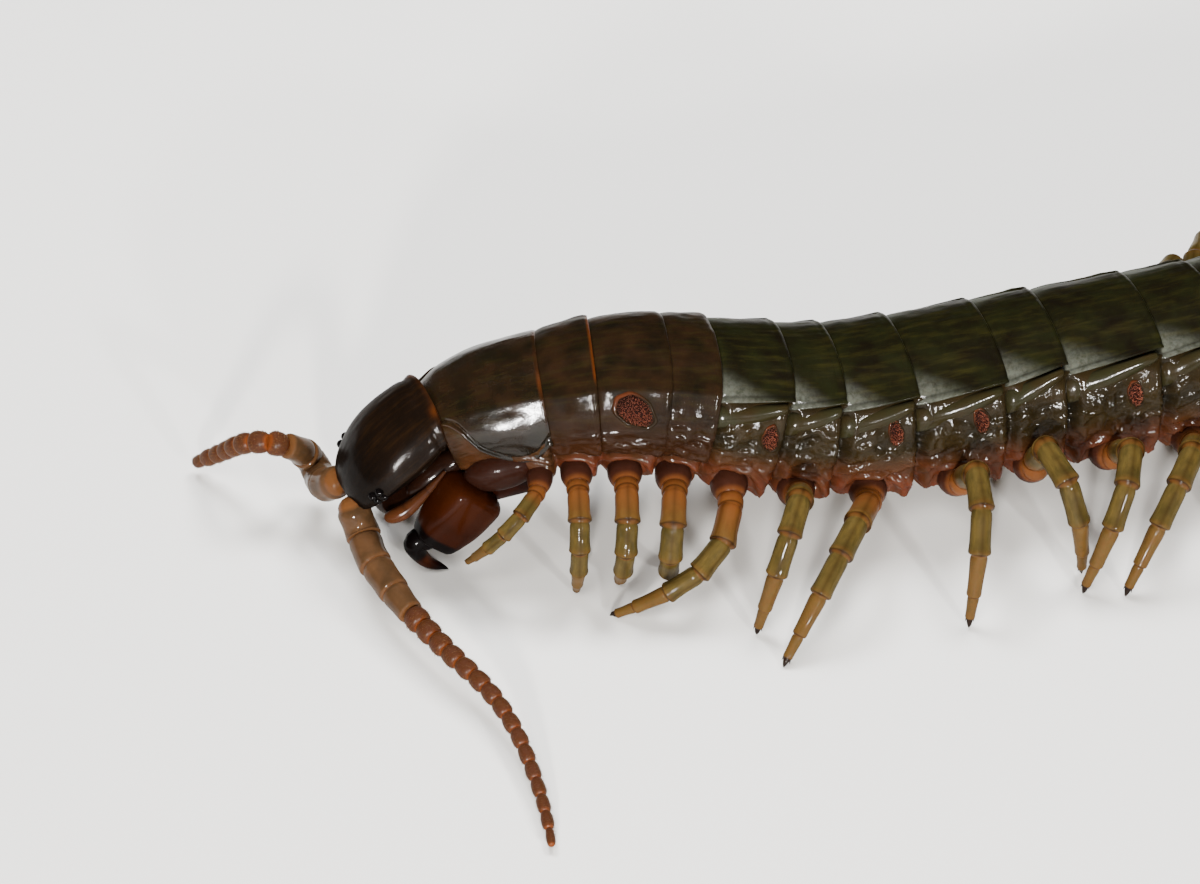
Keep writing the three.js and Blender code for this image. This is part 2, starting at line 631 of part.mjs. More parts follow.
const neckRoom = grown(trunkLoft(1, 2), ROOM);
const eyes = { left: eyeSolid(1), right: eyeSolid(-1) };
const head = headSolid().subtract(neckRoom).subtract(eyeSolid(1, ROOM)).subtract(eyeSolid(-1, ROOM));
const headRoom = grown(headSolid(), ROOM);
const plate = union(plateParts()).subtract(roomFor(trunkParts[0])).subtract(neckRoom).subtract(headRoom);
const plateRoom = roomFor(plateParts());
const forcipules = { left: forcipuleParts(1), right: forcipuleParts(-1) };
const mouth = maxillaeSolid().subtract(headRoom).subtract(plateRoom);
const maxillae = mouth.subtract(roomFor(forcipules.left)).subtract(roomFor(forcipules.right));

add("head", head, "#241810", 0.25);
add("forcipular_plate", plate, "#5a2a16", 0.3);
add("maxillae", maxillae, "#7a4020", 0.35);
for (const side of ["left", "right"]) {
  add(`eye_${side}`, eyes[side], "#0b0a09", 0.12);
  add(`forcipule_${side}`, union(forcipules[side]).subtract(headRoom).subtract(plateRoom), "#5c2410", 0.22);
}
add("antenna_left", antennaSolid(pathFrom(1, LEFT_PATH)).subtract(headRoom), "#5a3f2c", 0.35);
add("antenna_right", antennaSolid(pathFrom(-1, RIGHT_PATH)).subtract(headRoom), "#5a3f2c", 0.35);

// The whole is centred over the middle of its floor rectangle.
const box = new THREE.Box3().setFromObject(group);
const middle = box.getCenter(new THREE.Vector3());
for (const mesh of group.children) mesh.geometry.translate(-middle.x, -middle.y, -box.min.z);

export default group;
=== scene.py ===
# A giant centipede at life size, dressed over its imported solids: plated back, soft sides, legs, head and
# feelers. Lengths are in millimetres up to the moment a mesh is made.
import math

import bpy
import numpy as np
from bpy.props import FloatProperty, FloatVectorProperty, IntProperty, PointerProperty
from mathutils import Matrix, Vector


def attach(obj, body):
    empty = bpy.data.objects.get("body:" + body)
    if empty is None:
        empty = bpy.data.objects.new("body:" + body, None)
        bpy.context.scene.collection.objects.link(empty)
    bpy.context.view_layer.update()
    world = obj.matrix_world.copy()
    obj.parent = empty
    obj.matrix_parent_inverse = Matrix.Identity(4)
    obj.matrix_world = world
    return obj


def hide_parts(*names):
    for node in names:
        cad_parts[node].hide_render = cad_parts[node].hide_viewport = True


bl_info = {
    "name": "Giant centipede",
    "version": (1, 0, 0),
    "blender": (4, 5, 0),
    "location": "View3D > Sidebar > Centipede",
    "description": "Builds a life-size giant centipede over its packed solids",
    "category": "Add Mesh",
}

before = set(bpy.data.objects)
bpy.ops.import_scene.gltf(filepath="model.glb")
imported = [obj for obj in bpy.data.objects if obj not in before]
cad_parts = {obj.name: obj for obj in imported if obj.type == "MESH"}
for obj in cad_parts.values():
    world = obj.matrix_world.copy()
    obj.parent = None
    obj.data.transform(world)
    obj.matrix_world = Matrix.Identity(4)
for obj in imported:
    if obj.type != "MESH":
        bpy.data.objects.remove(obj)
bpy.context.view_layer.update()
MM = 0.001
# The animal's sides, and the sign that each has in the formulas.
SIDES = {"left": 1, "right": -1}

# Driving dimensions, the same as those of the solids

# Lengths of the 21 segments, and the segments with breathing holes.
TERGITE_LENGTHS = np.array([
    9.2, 4.1, 5.4, 3.9, 6.4, 5.0, 7.0, 8.1, 5.6, 8.8, 6.3, 9.0, 6.4, 9.0, 6.4, 8.8, 6.2, 8.3, 5.8, 7.3, 5.4,
])
SEGMENTS = len(TERGITE_LENGTHS)
SPIRACLE_SEGMENTS = (3, 5, 7, 8, 10, 12, 14, 16, 18, 20)
# Along the trunk, by mm behind the neck: the mid line's turn and its slope in degrees, then the width and
# the reach to the back and to the belly in mm.
HEADING = [
    (-12, 25), (-4, 23), (0, 13), (4, 8), (10, 5), (20, 7), (30, 10), (40, 13), (50, 14), (66, 15), (86, 28),
    (106, 36), (126, 24), (148, 4),
]
PITCH = [
    (-12, 31), (-3, 30), (0, 20), (3, 13), (8, 11), (12, 6), (16, -3), (21, -12), (30, -13), (37, -4),
    (43, 0.6), (66, 1.0), (80, 0), (148, -1),
]
WIDTH = [
    (0, 9.4), (3, 10.4), (8, 11.6), (13, 13.0), (20, 13.8), (30, 14.6), (45, 15.2), (60, 15.4), (100, 15.4),
    (120, 14.4), (136, 12.6), (147, 10.4),
]
BACK_HEIGHT = [
    (0, 4.7), (4, 5.2), (9, 5.7), (16, 6.2), (30, 6.5), (45, 6.7), (100, 6.7), (120, 6.2), (136, 5.2),
    (147, 4.0),
]
BELLY_DEPTH = [
    (0, 2.6), (5, 3.0), (9, 4.8), (14, 5.2), (30, 5.9), (45, 6.2), (100, 6.2), (120, 5.7), (136, 4.7),
    (147, 3.4),
]
# The place of the trunk's line at REST_AT, and the middle of the whole on the floor, which is the origin.
REST_AT = 39.8
REST_POINT = np.array([25.0, -8.1, 9.9])
MIDDLE = np.array([51.981, -0.2208, 0.0])
SPINE_STEP = 0.25
SPINE_START = -13.0

# Half of the trunk's section, back to belly: girth share, half-width share, height share. The first knot
# and the last repeat the far side, so that the curve crosses the middle line level.
OUTLINE = np.array([
    (-0.08, -0.15, 0.985), (0, 0, 1), (0.08, 0.15, 0.985), (0.16, 0.28, 0.945), (0.24, 0.385, 0.875),
    (0.275, 0.415, 0.82), (0.34, 0.47, 0.69), (0.42, 0.498, 0.53), (0.5, 0.498, 0.4), (0.58, 0.475, 0.27),
    (0.68, 0.42, 0.135), (0.78, 0.33, 0.035), (0.88, 0.2, 0), (1, 0, 0), (1.12, -0.2, 0),
])


def smooth(x):
    """A smooth step from 0 to 1."""
    x = np.clip(x, 0, 1)
    return x * x * (3 - 2 * x)


def bell(x, centre, width):
    """A smooth hump of height 1."""
    return np.exp(-(((x - centre) / width) ** 2))


def with_lines(lift, x, lines, share=1.0):
    """A height with raised and pressed lines: each has its height, its place on x and its width."""
    for height, middle, width in lines:
        lift = lift + height * bell(x, middle, width) * share
    return lift


def through(knots, x):
    """A smooth curve through knots (place, value), each knot's slope taken from its neighbours."""
    places, values = np.array(knots, float).T
    index = np.arange(len(places))
    low, high = np.maximum(index - 1, 0), np.minimum(index + 1, len(places) - 1)
    slopes = (values[high] - values[low]) / (places[high] - places[low])
    x = np.clip(np.asarray(x, float), places[0], places[-1])
    i = np.clip(np.searchsorted(places, x) - 1, 0, len(places) - 2)
    w = places[i + 1] - places[i]
    t = (x - places[i]) / w
    u = 1 - t
    ends = values[i] * u * u * (1 + 2 * t) + values[i + 1] * t * t * (3 - 2 * t)
    return ends + w * t * u * (slopes[i] * u - slopes[i + 1] * t)


def at(knots, x):
    """The value of such a curve at one place."""
    return float(through(knots, x))


def lattice_noise(x, y, seed):
    """Smooth noise from -1 to 1 on a lattice of unit cells."""
    table = np.random.default_rng(seed).uniform(-1, 1, (64, 64))
    xi, yi = np.floor(x).astype(int), np.floor(y).astype(int)
    fx, fy = smooth(x - xi), smooth(y - yi)
    corner = [[table[(xi + a) % 64, (yi + b) % 64] for b in (0, 1)] for a in (0, 1)]
    front = corner[0][0] * (1 - fy) + corner[0][1] * fy
    back = corner[1][0] * (1 - fy) + corner[1][1] * fy
    return front * (1 - fx) + back * fx


def creases(x, y, seed):
    """Rounded ridges, up to 1, with sharp valleys between them."""
    return 1 - 2.4 * np.abs(lattice_noise(x, y, seed))


# The trunk's mid line

def tergite_start(segment):
    """Where a segment starts, in mm behind the neck. The first segment is 1."""
    return float(TERGITE_LENGTHS[: segment - 1].sum())


TRUNK_LENGTH = tergite_start(SEGMENTS + 1)
TERGITE_STARTS = np.array([tergite_start(i) for i in range(1, SEGMENTS + 1)])


def extent(segment):
    """Where a segment starts, and its length."""
    return TERGITE_STARTS[segment - 1], TERGITE_LENGTHS[segment - 1]


def direction_at(s):
    """The mid line's direction, to the tail."""
    a, b = np.radians(through(HEADING, s)), np.radians(through(PITCH, s))
    return np.stack([np.cos(a) * np.cos(b), np.sin(a) * np.cos(b), np.sin(b)], -1)


SPINE_PLACES = np.arange(SPINE_START, TRUNK_LENGTH + 5, SPINE_STEP)
SPINE = np.concatenate([
    np.zeros((1, 3)), np.cumsum(direction_at(SPINE_PLACES[:-1] + SPINE_STEP / 2) * SPINE_STEP, 0),
])


def spine_point(s):
    """Points of the mid line, before the whole is moved to its place."""
    return np.stack([np.interp(s, SPINE_PLACES, SPINE[:, k]) for k in range(3)], -1)


SHIFT = REST_POINT - MIDDLE - spine_point(REST_AT)


def frames_at(s):
    """Points of the mid line, and the directions to the tail, to the left and to the back there."""
    a = np.radians(through(HEADING, s))
    t = direction_at(s)
    left = np.stack([np.sin(a), -np.cos(a), np.zeros_like(a)], -1)
    return spine_point(s) + SHIFT, t, left, np.cross(left, t)


def place(s, u, v):
    """Points that lie u to the left and v to the back of the mid line."""
    origin, _, left, up = frames_at(s)
    return origin + left * np.asarray(u)[..., None] + up * np.asarray(v)[..., None]


def girth_point(s, girth, lift):
    """Points on the trunk. Girth is 0 on the back, 1 on the belly, minus on the right; lift is outwards."""
    q, hand = np.abs(girth), np.sign(girth)
    width, top, bottom = through(WIDTH, s), through(BACK_HEIGHT, s), -through(BELLY_DEPTH, s)
    wide, high = OUTLINE[:, [0, 1]], OUTLINE[:, [0, 2]]
    step = 0.004
    du = width * (through(wide, q + step) - through(wide, q - step))
    dv = (top - bottom) * (through(high, q + step) - through(high, q - step))
    size = np.hypot(du, dv) + 1e-9
    u = width * through(wide, q) - lift * dv / size
    v = bottom + (top - bottom) * through(high, q) + lift * du / size
    return place(s, u * np.where(girth == 0, 1, hand), v)


# Mesh patches

class Patch:
    """Points, four- and three-sided faces and per-point values that become one mesh."""

    def __init__(self, points, quads, tris=(), values=None):
        self.points = np.asarray(points, float).reshape(-1, 3)
        self.quads = np.asarray(quads, int).reshape(-1, 4)
        self.tris = np.asarray(tris, int).reshape(-1, 3)
        self.values = values or {}


def circle(sides):
    """The angles of a ring's points."""
    return np.arange(sides) / sides * 2 * math.pi


def both_halves(girth):
    """Girth shares down the left side and up the right one."""
    return np.concatenate([girth, -girth[1:-1][::-1]])


def facing_out(patch):
    """Turns a closed patch so that its faces point outwards."""
    corners = np.concatenate([patch.quads[:, [0, 1, 2]], patch.quads[:, [0, 2, 3]], patch.tris])
    a, b, c = (patch.points[corners[:, k]] for k in range(3))
    if np.einsum("ij,ij->", a, np.cross(b, c)) < 0:
        patch.quads, patch.tris = patch.quads[:, ::-1], patch.tris[:, ::-1]
    return patch


def ring_quads(rows, sides):
    """Faces between rows of closed rings."""
    index = np.arange(rows * sides).reshape(rows, sides)
    after = np.roll(index, -1, 1)
    return np.stack([index[:-1], after[:-1], after[1:], index[1:]], -1).reshape(-1, 4), index, after


def tube(rings, values=None):
    """A closed body through rings of points. Both ends are closed with a fan round their middle.

    A value is one number, a column with one number for each ring, or a grid with one for each point.
    """
    rings = np.asarray(rings, float)
    rows, sides = rings.shape[:2]
    quads, index, after = ring_quads(rows, sides)
    points = np.concatenate([rings.reshape(-1, 3), rings[0].mean(0)[None], rings[-1].mean(0)[None]])
    first, last = np.full(sides, rows * sides), np.full(sides, rows * sides + 1)
    tris = np.concatenate([
        np.stack([first, after[0], index[0]], -1), np.stack([last, index[-1], after[-1]], -1),
    ])
    held = {}
    for name, value in (values or {}).items():
        value = np.broadcast_to(np.asarray(value, float), (rows, sides)).reshape(-1)
        held[name] = np.concatenate([value, [value[0]], [value[-1]]])
    return facing_out(Patch(points, quads, tris, held))


def join(patches):
    """One patch from several."""
    names = sorted({name for patch in patches for name in patch.values})
    starts = np.cumsum([0] + [len(patch.points) for patch in patches[:-1]])
    values = {
        name: np.concatenate([patch.values.get(name, np.zeros(len(patch.points))) for patch in patches])
        for name in names
    }
    return Patch(
        np.concatenate([patch.points for patch in patches]),
        np.concatenate([patch.quads + start for patch, start in zip(patches, starts)]),
        np.concatenate([patch.tris + start for patch, start in zip(patches, starts)]), values,
    )


# Half thickness of a plate on its outermost lines and inwards, as a share.
PLATE_EDGE = np.array([0.15, 0.6, 0.86, 1.0])


def plate(s, girth, lift, thickness, values=None):
    """A closed plate over a grid of places on the trunk, with rounded edges.

    s, girth and lift are grids, rows along the body and columns across it.
    """
    rows, columns = s.shape
    edge = np.minimum.outer(
        np.minimum(np.arange(rows), rows - 1 - np.arange(rows)),
        np.minimum(np.arange(columns), columns - 1 - np.arange(columns)),
    )
    half = thickness / 2 * PLATE_EDGE[np.minimum(edge, 3)]
    middle = lift - thickness / 2
    outer = girth_point(s, girth, middle + half)
    inner = girth_point(s, girth, middle - half)
    rings = np.concatenate([outer, inner[:, ::-1]], 1)
    held = {name: np.concatenate([v, v[:, ::-1]], 1).reshape(-1) for name, v in (values or {}).items()}
    quads, index, _ = ring_quads(rows, 2 * columns)
    near = np.arange(columns - 1)
    far = 2 * columns - 1 - near
    start = np.stack([index[0, near], index[0, far], index[0, far - 1], index[0, near + 1]], -1)
    end = np.stack([index[-1, near + 1], index[-1, far - 1], index[-1, far], index[-1, near]], -1)
    return facing_out(Patch(rings, np.concatenate([quads, start, end]), (), held))


def new_object(name, data):
    """A new object in the scene."""
    made = bpy.data.objects.new(name, data)
    bpy.context.scene.collection.objects.link(made)
    return made


def make_object(name, patch, material):
    """A smooth-shaded mesh object in metres, at the origin."""
    mesh = bpy.data.meshes.new(name)
    mesh.vertices.add(len(patch.points))
    points = patch.points * MM
    # What rests on the floor is flat there
    points[:, 2] = np.maximum(points[:, 2], 0)
    mesh.vertices.foreach_set("co", points.ravel())
    corners = np.concatenate([patch.quads.ravel(), patch.tris.ravel()])
    mesh.loops.add(len(corners))
    mesh.loops.foreach_set("vertex_index", corners)
    starts = np.concatenate([
        np.arange(len(patch.quads)) * 4, len(patch.quads) * 4 + np.arange(len(patch.tris)) * 3,
    ])
    mesh.polygons.add(len(starts))
    mesh.polygons.foreach_set("loop_start", starts)
    mesh.update(calc_edges=True)
    mesh.validate()
    mesh.shade_smooth()
    for key, value in patch.values.items():
        attribute = mesh.attributes.new(key, "FLOAT", "POINT")
        attribute.data.foreach_set("value", np.asarray(value, np.float32))
    made = new_object(name, mesh)
    mesh.materials.append(material)
    return made


def dress(made, slot, *nodes):
    """Sets a piece on the body and hides the solids that it stands for. The slot is not used."""
    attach(made, "root")
    if nodes:
        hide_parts(*nodes)
    return made


def piece(name, patch, material, slot, *nodes):
    """A mesh, set on the body."""
    return dress(make_object(name, patch, material), slot, *nodes)


# Materials

def linear(colour):
    """An sRGB hex colour as linear red, green and blue."""
    parts = [int(colour[k:k + 2], 16) / 255 for k in (1, 3, 5)]
    return tuple(c / 12.92 if c <= 0.04045 else ((c + 0.055) / 1.055) ** 2.4 for c in parts)


def add(tree, kind, inputs=None, **settings):
    """Adds a node, applies its settings, and sets or links its inputs."""
    made = tree.nodes.new(kind)
    for name, value in settings.items():
        setattr(made, name, value)
    for socket, value in (inputs or {}).items():
        if isinstance(value, bpy.types.NodeSocket):
            tree.links.new(value, made.inputs[socket])
        else:
            made.inputs[socket].default_value = value
    return made


# Sockets of a colour mix, which share their names: factor, first and second colour, and the result.
MIX_FACTOR, MIX_FIRST, MIX_SECOND, MIX_RESULT = 0, 6, 7, 2
# Streaks run along the body: the way along counts for less in their noise than the way round.
STREAK_ALONG = 0.16
# Levels of noise between which clouds, streaks and the patches of the masks come out.
CLOUD_EDGES = (0.35, 0.68)
STREAK_EDGES = (0.48, 0.72)
PATCH_EDGES = (0.3, 0.6)
ROUGH_CHANGE = 0.16
# Red light goes deeper into cuticle than green and blue.
LIGHT_DEPTH = (1.0, 0.45, 0.2)


def cuticle(name, **changes):
    """A cuticle material: tanned layers under a clear waxy coat.

    The changes are to CUTICLE. The masks warm, flush, pale and dark come from the piece's attributes.
    """
    look = {**CUTICLE, **changes}
    look = {key: linear(value) if isinstance(value, str) else value for key, value in look.items()}
    material = bpy.data.materials.new(name)
    material.use_nodes = True
    tree = material.node_tree
    tree.nodes.clear()
    where = add(tree, "ShaderNodeTexCoord").outputs["Object"]

    def noise(size_mm, detail=3.0, rough=0.5, distortion=0.0):
        made = add(tree, "ShaderNodeTexNoise", {
            "Vector": where, "Scale": 1 / (size_mm * MM), "Detail": detail, "Roughness": rough,
            "Distortion": distortion,
        })
        return made.outputs["Fac"]

    def maths(operation, a, b=0.0, c=0.0, clamped=False):
        made = add(tree, "ShaderNodeMath", {0: a, 1: b, 2: c}, operation=operation, use_clamp=clamped)
        return made.outputs[0]

    def ranged(value, low, high, top=1.0):
        return add(tree, "ShaderNodeMapRange", {
            "Value": value, "From Min": low, "From Max": high, "To Max": top,
        }).outputs[0]

    def mask(key):
        return add(tree, "ShaderNodeAttribute", attribute_name=key).outputs["Fac"]

    def mixed(factor, first, colour):
        return add(tree, "ShaderNodeMix", {
            MIX_FACTOR: factor, MIX_FIRST: first, MIX_SECOND: (*colour, 1.0),
        }, data_type="RGBA").outputs[MIX_RESULT]

    # Cloudy change from the base colour to the deeper one
    colour = mixed(ranged(noise(look["cloud"], 4.0), *CLOUD_EDGES), (*look["base"], 1.0), look["deep"])
    if look["streak"] > 0:
        lie = add(tree, "ShaderNodeCombineXYZ", {
            "X": maths("MULTIPLY", mask("along"), STREAK_ALONG), "Y": mask("across"),
        })
        streaks = add(tree, "ShaderNodeTexNoise", {
            "Vector": lie.outputs[0], "Scale": look["streaks_per_mm"], "Detail": 4.0, "Roughness": 0.65,
        })
        share = ranged(streaks.outputs["Fac"], *STREAK_EDGES, look["streak"])
        colour = mixed(share, colour, look["streak_colour"])
    # Each mask is broken up: reddish parts and flushed skin by clouds, dust and painted sheen into ragged
    # patches
    clouds = maths("MULTIPLY_ADD", noise(look["cloud"] * 0.6), 0.5, 0.75)
    blotches = ranged(noise(look["cloud"] * 0.8, 4.0), *PATCH_EDGES)
    ragged = maths("MULTIPLY_ADD", ranged(noise(0.5, 5.0, 0.65), *PATCH_EDGES), 0.65, 0.35)
    shares = {}
    for key, broken in (("warm", clouds), ("flush", blotches), ("pale", ragged), ("dark", 1.0)):
        shares[key] = maths("MULTIPLY", mask(key), broken, 0.0, True)
        colour = mixed(shares[key], colour, look[key])

    roughness = maths(
        "MULTIPLY_ADD", noise(look["grain"] * 4), ROUGH_CHANGE, look["rough"] - ROUGH_CHANGE / 2)
    roughness = maths("MULTIPLY_ADD", shares["pale"], look["pale_rough"], roughness)

    height = maths("MULTIPLY", noise(look["grain"], 3.0, 0.55), look["grain_depth"])
    if look["fold"] > 0:
        ridge = maths("ABSOLUTE", maths("SUBTRACT", noise(look["fold_size"], 2.0, 0.5, 1.2), 0.5))
        height = maths("MULTIPLY_ADD", ridge, look["fold"], height)
    bumped = add(tree, "ShaderNodeBump", {"Height": height, "Distance": MM, "Strength": 1.0}).outputs[0]

    shader = add(tree, "ShaderNodeBsdfPrincipled", {
        "Base Color": colour,
        "Roughness": roughness,
        "IOR": look["ior"],
        "Specular IOR Level": look["shine"],
        "Coat Weight": look["coat"],
        "Coat Roughness": look["coat_rough"],
        "Coat IOR": look["coat_ior"],
        "Subsurface Weight": look["through"],
        "Subsurface Radius": LIGHT_DEPTH,
        "Subsurface Scale": look["depth"] * MM,
        "Normal": bumped,
        "Coat Normal": bumped,
    })
    add(tree, "ShaderNodeOutputMaterial", {"Surface": shader.outputs[0]})
    return material


# Typical arthropod cuticle: refractive index 1.5, satin under a thin waxy coat. Sizes are in mm: of clouds,
# grain and folds, the height of grain and folds, and the depth that light reaches.
CUTICLE = {
    "warm": "#6a330e", "flush": "#2c170e", "pale": "#4b4d45", "dark": "#0b0a07", "cloud": 2.2,
    "streak": 0.0, "streaks_per_mm": 1.6, "streak_colour": "#4a4420", "rough": 0.36, "pale_rough": 0.3,
    "grain": 0.14, "grain_depth": 0.006, "fold": 0.0, "fold_size": 1.0, "ior": 1.5, "shine": 0.01,
    "coat": 0.18, "coat_rough": 0.06, "coat_ior": 1.36, "through": 0.04, "depth": 0.4,
}


def colour_of(name, description, colour):
    """A colour setting, from an sRGB hex colour."""
    return FloatVectorProperty(name=name, description=description, subtype="COLOR", default=linear(colour))


def size_of(name, description, size, least, most):
    """A size setting."""
    return FloatProperty(name=name, description=description, default=size, min=least, max=most)


class CentipedeColours(bpy.types.PropertyGroup):
    """The cuticle's colours."""

    back: colour_of("Back", "Tanned plates of the back", "#131408")
    back_deep: colour_of("Back, deep", "Darker clouds on the back", "#0e0b06")
    fore: colour_of("Fore plates", "Browner plates behind the head", "#1e130a")
    head: colour_of("Head", "Head shield", "#110a06")
    side: colour_of("Side", "Soft side skin", "#221a0c")
    rim: colour_of("Rim", "Thin edges that light shines through", "#44200a")
    socket: colour_of("Leg socket", "Pinkish skin round the leg bases", "#4a2213")
    leg: colour_of("Leg", "Olive outer leg", "#42361a")
    thigh: colour_of("Thigh", "Orange leg base and joint rings", "#5e3518")
    tarsus: colour_of("Tarsus", "Brown last articles", "#4c3418")
    fang: colour_of("Poison claw", "Red-brown poison claw", "#200802")
    feeler: colour_of("Feeler", "Beads of the feelers", "#3a2116")


class CentipedeSizes(bpy.types.PropertyGroup):
    """Sizes of the fine forms."""

    plate_thickness: size_of("Plate thickness", "Thickness of a back plate, mm", 0.3, 0.1, 0.6)
    plate_overlap: size_of("Plate overlap", "How far a plate runs under the one ahead, mm", 0.7, 0, 2)
    fold_height: size_of("Fold height", "Height of the folds in the side skin, mm", 0.24, 0, 0.5)
    hair_length: size_of("Hair length", "Length of the feelers' down, mm", 0.2, 0.05, 1)
    hair_density: size_of("Hair density", "Hairs on a square millimetre of feeler", 20, 0, 80)
    seed: IntProperty(name="Seed", description="Seed of everything random", default=21)


# Back plates

# The plates up to this one wrap the side, and up to the next one reach a little lower than the rest.
DEEP_PLATES = 4
NEAR_PLATES = 8
# Girth share at which a plate ends: front and rear of plates 2 to 4, of 5 to 8 and of those behind.
DEEP_MARGIN = (0.58, 0.58)
NEAR_MARGIN = (0.282, 0.25)
FAR_MARGIN = (0.268, 0.222)
FIRST_MARGIN = [(0, 0.25), (0.1, 0.28), (0.19, 0.34), (0.35, 0.49), (0.6, 0.61), (0.8, 0.58), (1, 0.46)]
# Height of a plate over the trunk's outline along its length, mm.
PLATE_RISE = [(0, -0.62), (0.08, -0.4), (0.2, -0.08), (0.6, 0.06), (0.93, 0.2), (1, 0.2)]
FIRST_RISE = [(0, -0.35), (0.12, 0.0), (0.5, 0.25), (0.9, 0.2), (1, 0.12)]
# How far a plate runs under the one ahead of it, if it is the first, and over the next one.
FIRST_OVERLAP = 0.25
REAR_RUN = 0.28
# Distance in mm of the places along a plate, how many are added for its edges, and the places across it.
ROW_STEP = 0.2
EDGE_ROWS = 8
COLUMNS = 76
DEEP_COLUMNS = 150
# Uneven ground of a plate: noise cells to a mm along it and to the half girth, seed, cells between one
# plate and the next, and height in mm. The first two are higher on the deep plates.
GROUND = [(0.3, 8, 3, 7, 0.07), (1.1, 26, 4, 5, 0.022), (0.5, 70, 5, 9, 0.014)]
DEEP_GROUND = 1.8
# A thin raised border with a furrow inside it: height, mm from the margin, width.
BORDER = [(0.1, 0.12, 0.14), (-0.07, 0.5, 0.16)]
FIRST_BORDER = [(0.12, 0.35, 0.3), (-0.16, 1.1, 0.35)]
# How far a plate's dust and painted sheen reach, as a share of its length, and the length from which it is a
# long one.
DUST_AND_SHEEN_REACH, LONG_DUST_AND_SHEEN_REACH = 0.7, 0.55
LONG_PLATE = 6.6
# Girth share of the two lines along the back, and mm from the back to the belly round one side.
SUTURE = 0.068
GIRTH_MM = 23.0


def plate_margin(segment, x):
    """Girth share at which a back plate ends."""
    if segment == 1:
        return through(FIRST_MARGIN, x)
    front, rear = NEAR_MARGIN if segment <= NEAR_PLATES else FAR_MARGIN
    if segment <= DEEP_PLATES:
        front, rear = DEEP_MARGIN
    return front + (rear - front) * x


def spread(count, ends=0.06):
    """Places from 0 to 1, closer together at both ends."""
    inner = np.linspace(0, 1, count - 6)
    close = np.array([0.15, 0.45, 0.75]) * ends
    return np.sort(np.concatenate([inner, close, 1 - close]))


def plate_rows(length, ends):
    """Places from 0 to 1 along a plate."""
    return spread(int(length / ROW_STEP) + EDGE_ROWS, ends)


def tergite_patch(segment, sizes):
    """The back plate of one segment."""
    start, length = extent(segment)
    overlap = sizes.plate_overlap if segment > 1 else FIRST_OVERLAP
    rows = plate_rows(length, 0.5 / length)
    columns = 2 * spread(DEEP_COLUMNS if segment <= DEEP_PLATES else COLUMNS, 0.012) - 1
    y, across = np.meshgrid(rows, columns, indexing="ij")
    s = start - overlap + y * (length + overlap + REAR_RUN)
    x = np.clip((s - start) / length, 0, 1.03)
    margin = plate_margin(segment, np.clip(x, 0, 1))
    girth = across * margin
    q = np.abs(girth)
    edge = (margin - q) * GIRTH_MM
    if segment == 1:
        lift = through(FIRST_RISE, x)
    else:
        lift = through(PLATE_RISE, (s - start + overlap) / (length + overlap))
    wavy = 0
    for k, (along, across, seed, shift, height) in enumerate(GROUND):
        uneven = DEEP_GROUND if k < 2 and 1 < segment <= DEEP_PLATES else 1.0
        wavy = wavy + lattice_noise(s * along, girth * across + segment * shift, seed) * height * uneven
    lift = lift + wavy * smooth((y - 0.1) / 0.2)
    usual = segment > DEEP_PLATES
    if usual:
        lift = with_lines(lift - 0.03 * bell(q, SUTURE + 0.012 * x, 0.005), edge, BORDER)
        lift = lift - 0.07 * bell(s - start - length, -0.45, 0.16) * smooth(edge / 0.5)
    elif segment > 1:
        # These wrap the whole side, where they soften into folds
        low = smooth((q - (0.34 if segment < DEEP_PLATES else 0.26)) / 0.16)
        around = girth * GIRTH_MM
        folds = creases(s * 0.6 + 3, around * 1.2, sizes.seed)
        folds += 0.6 - 1.4 * np.abs(lattice_noise(s * 1.4 + 7, around * 2.6, sizes.seed + 1))
        lift = lift + low * sizes.fold_height * (0.6 if segment == 2 else 0.85) * folds
        lift = lift - 0.7 * smooth(1 - edge / 1.5)
    else:
        # The flank swells, which takes the sharp turn out of the shoulder
        lift = with_lines(lift, edge, FIRST_BORDER) + 0.3 * bell(q, 0.38, 0.1) * bell(x, 0.55, 0.4)
    # Dull dusty corners behind the plate ahead, greyed also by a painted sheen
    reach = DUST_AND_SHEEN_REACH if length < LONG_PLATE else LONG_DUST_AND_SHEEN_REACH
    dust_and_sheen = smooth(1.35 - x / reach - edge / 3.2) * smooth((x + 0.02) / 0.05) * usual * 0.85
    rear = length - (s - start)
    if segment == 1:
        warm = (0.1 + 0.5 * bell(q, 0.17, 0.06)) * smooth((0.02 - rear) / 0.1)
        warm = warm + 0.15 * bell(edge, 0.1, 0.3)
    elif usual:
        warm = 0 * x
    else:
        rim = (0.9 if segment == 2 else 0.0) * smooth((-0.08 - rear) / 0.08) * smooth((0.23 - q) / 0.06)
        warm = np.maximum(rim, (0.45 if segment == 2 else 0.35) * smooth((q - 0.28) / 0.25))
    # Painted shade in the furrow and under the plate ahead, and darker low on the foremost plates
    dark = 0.6 * bell(edge, 0.5, 0.14) * usual + 0.5 * smooth((0.12 - s + start) / 0.2) * (segment > 1)
    dark = dark + (not usual) * (0.7 if segment == 1 else 0.4) * smooth((q - 0.28) / 0.15)
    return plate(s, girth, lift, sizes.plate_thickness, {
        "along": s, "across": girth * GIRTH_MM, "warm": warm, "pale": dust_and_sheen, "dark": dark,
        "flush": 0.3 * smooth((q - 0.45) / 0.12) * (not usual and segment > 1),
    })


def back_material(name, colours, fore, **changes):
    """Tanned chitin of the back, cast by the epidermis in sheets: dark, satin and finely streaked."""
    look = {
        "base": colours.fore if fore else colours.back, "deep": colours.back_deep, "warm": colours.rim,
        "streak": 0.3 if fore else 0.5, "streak_colour": "#28250d", "rough": 0.4,
        "coat": 0.19 if fore else 0.13, "coat_rough": 0.07 if fore else 0.12, "grain": 0.11,
        "grain_depth": 0.006, "fold": 0.02, "fold_size": 0.5,
    }
    return cuticle(name, **{**look, **changes})


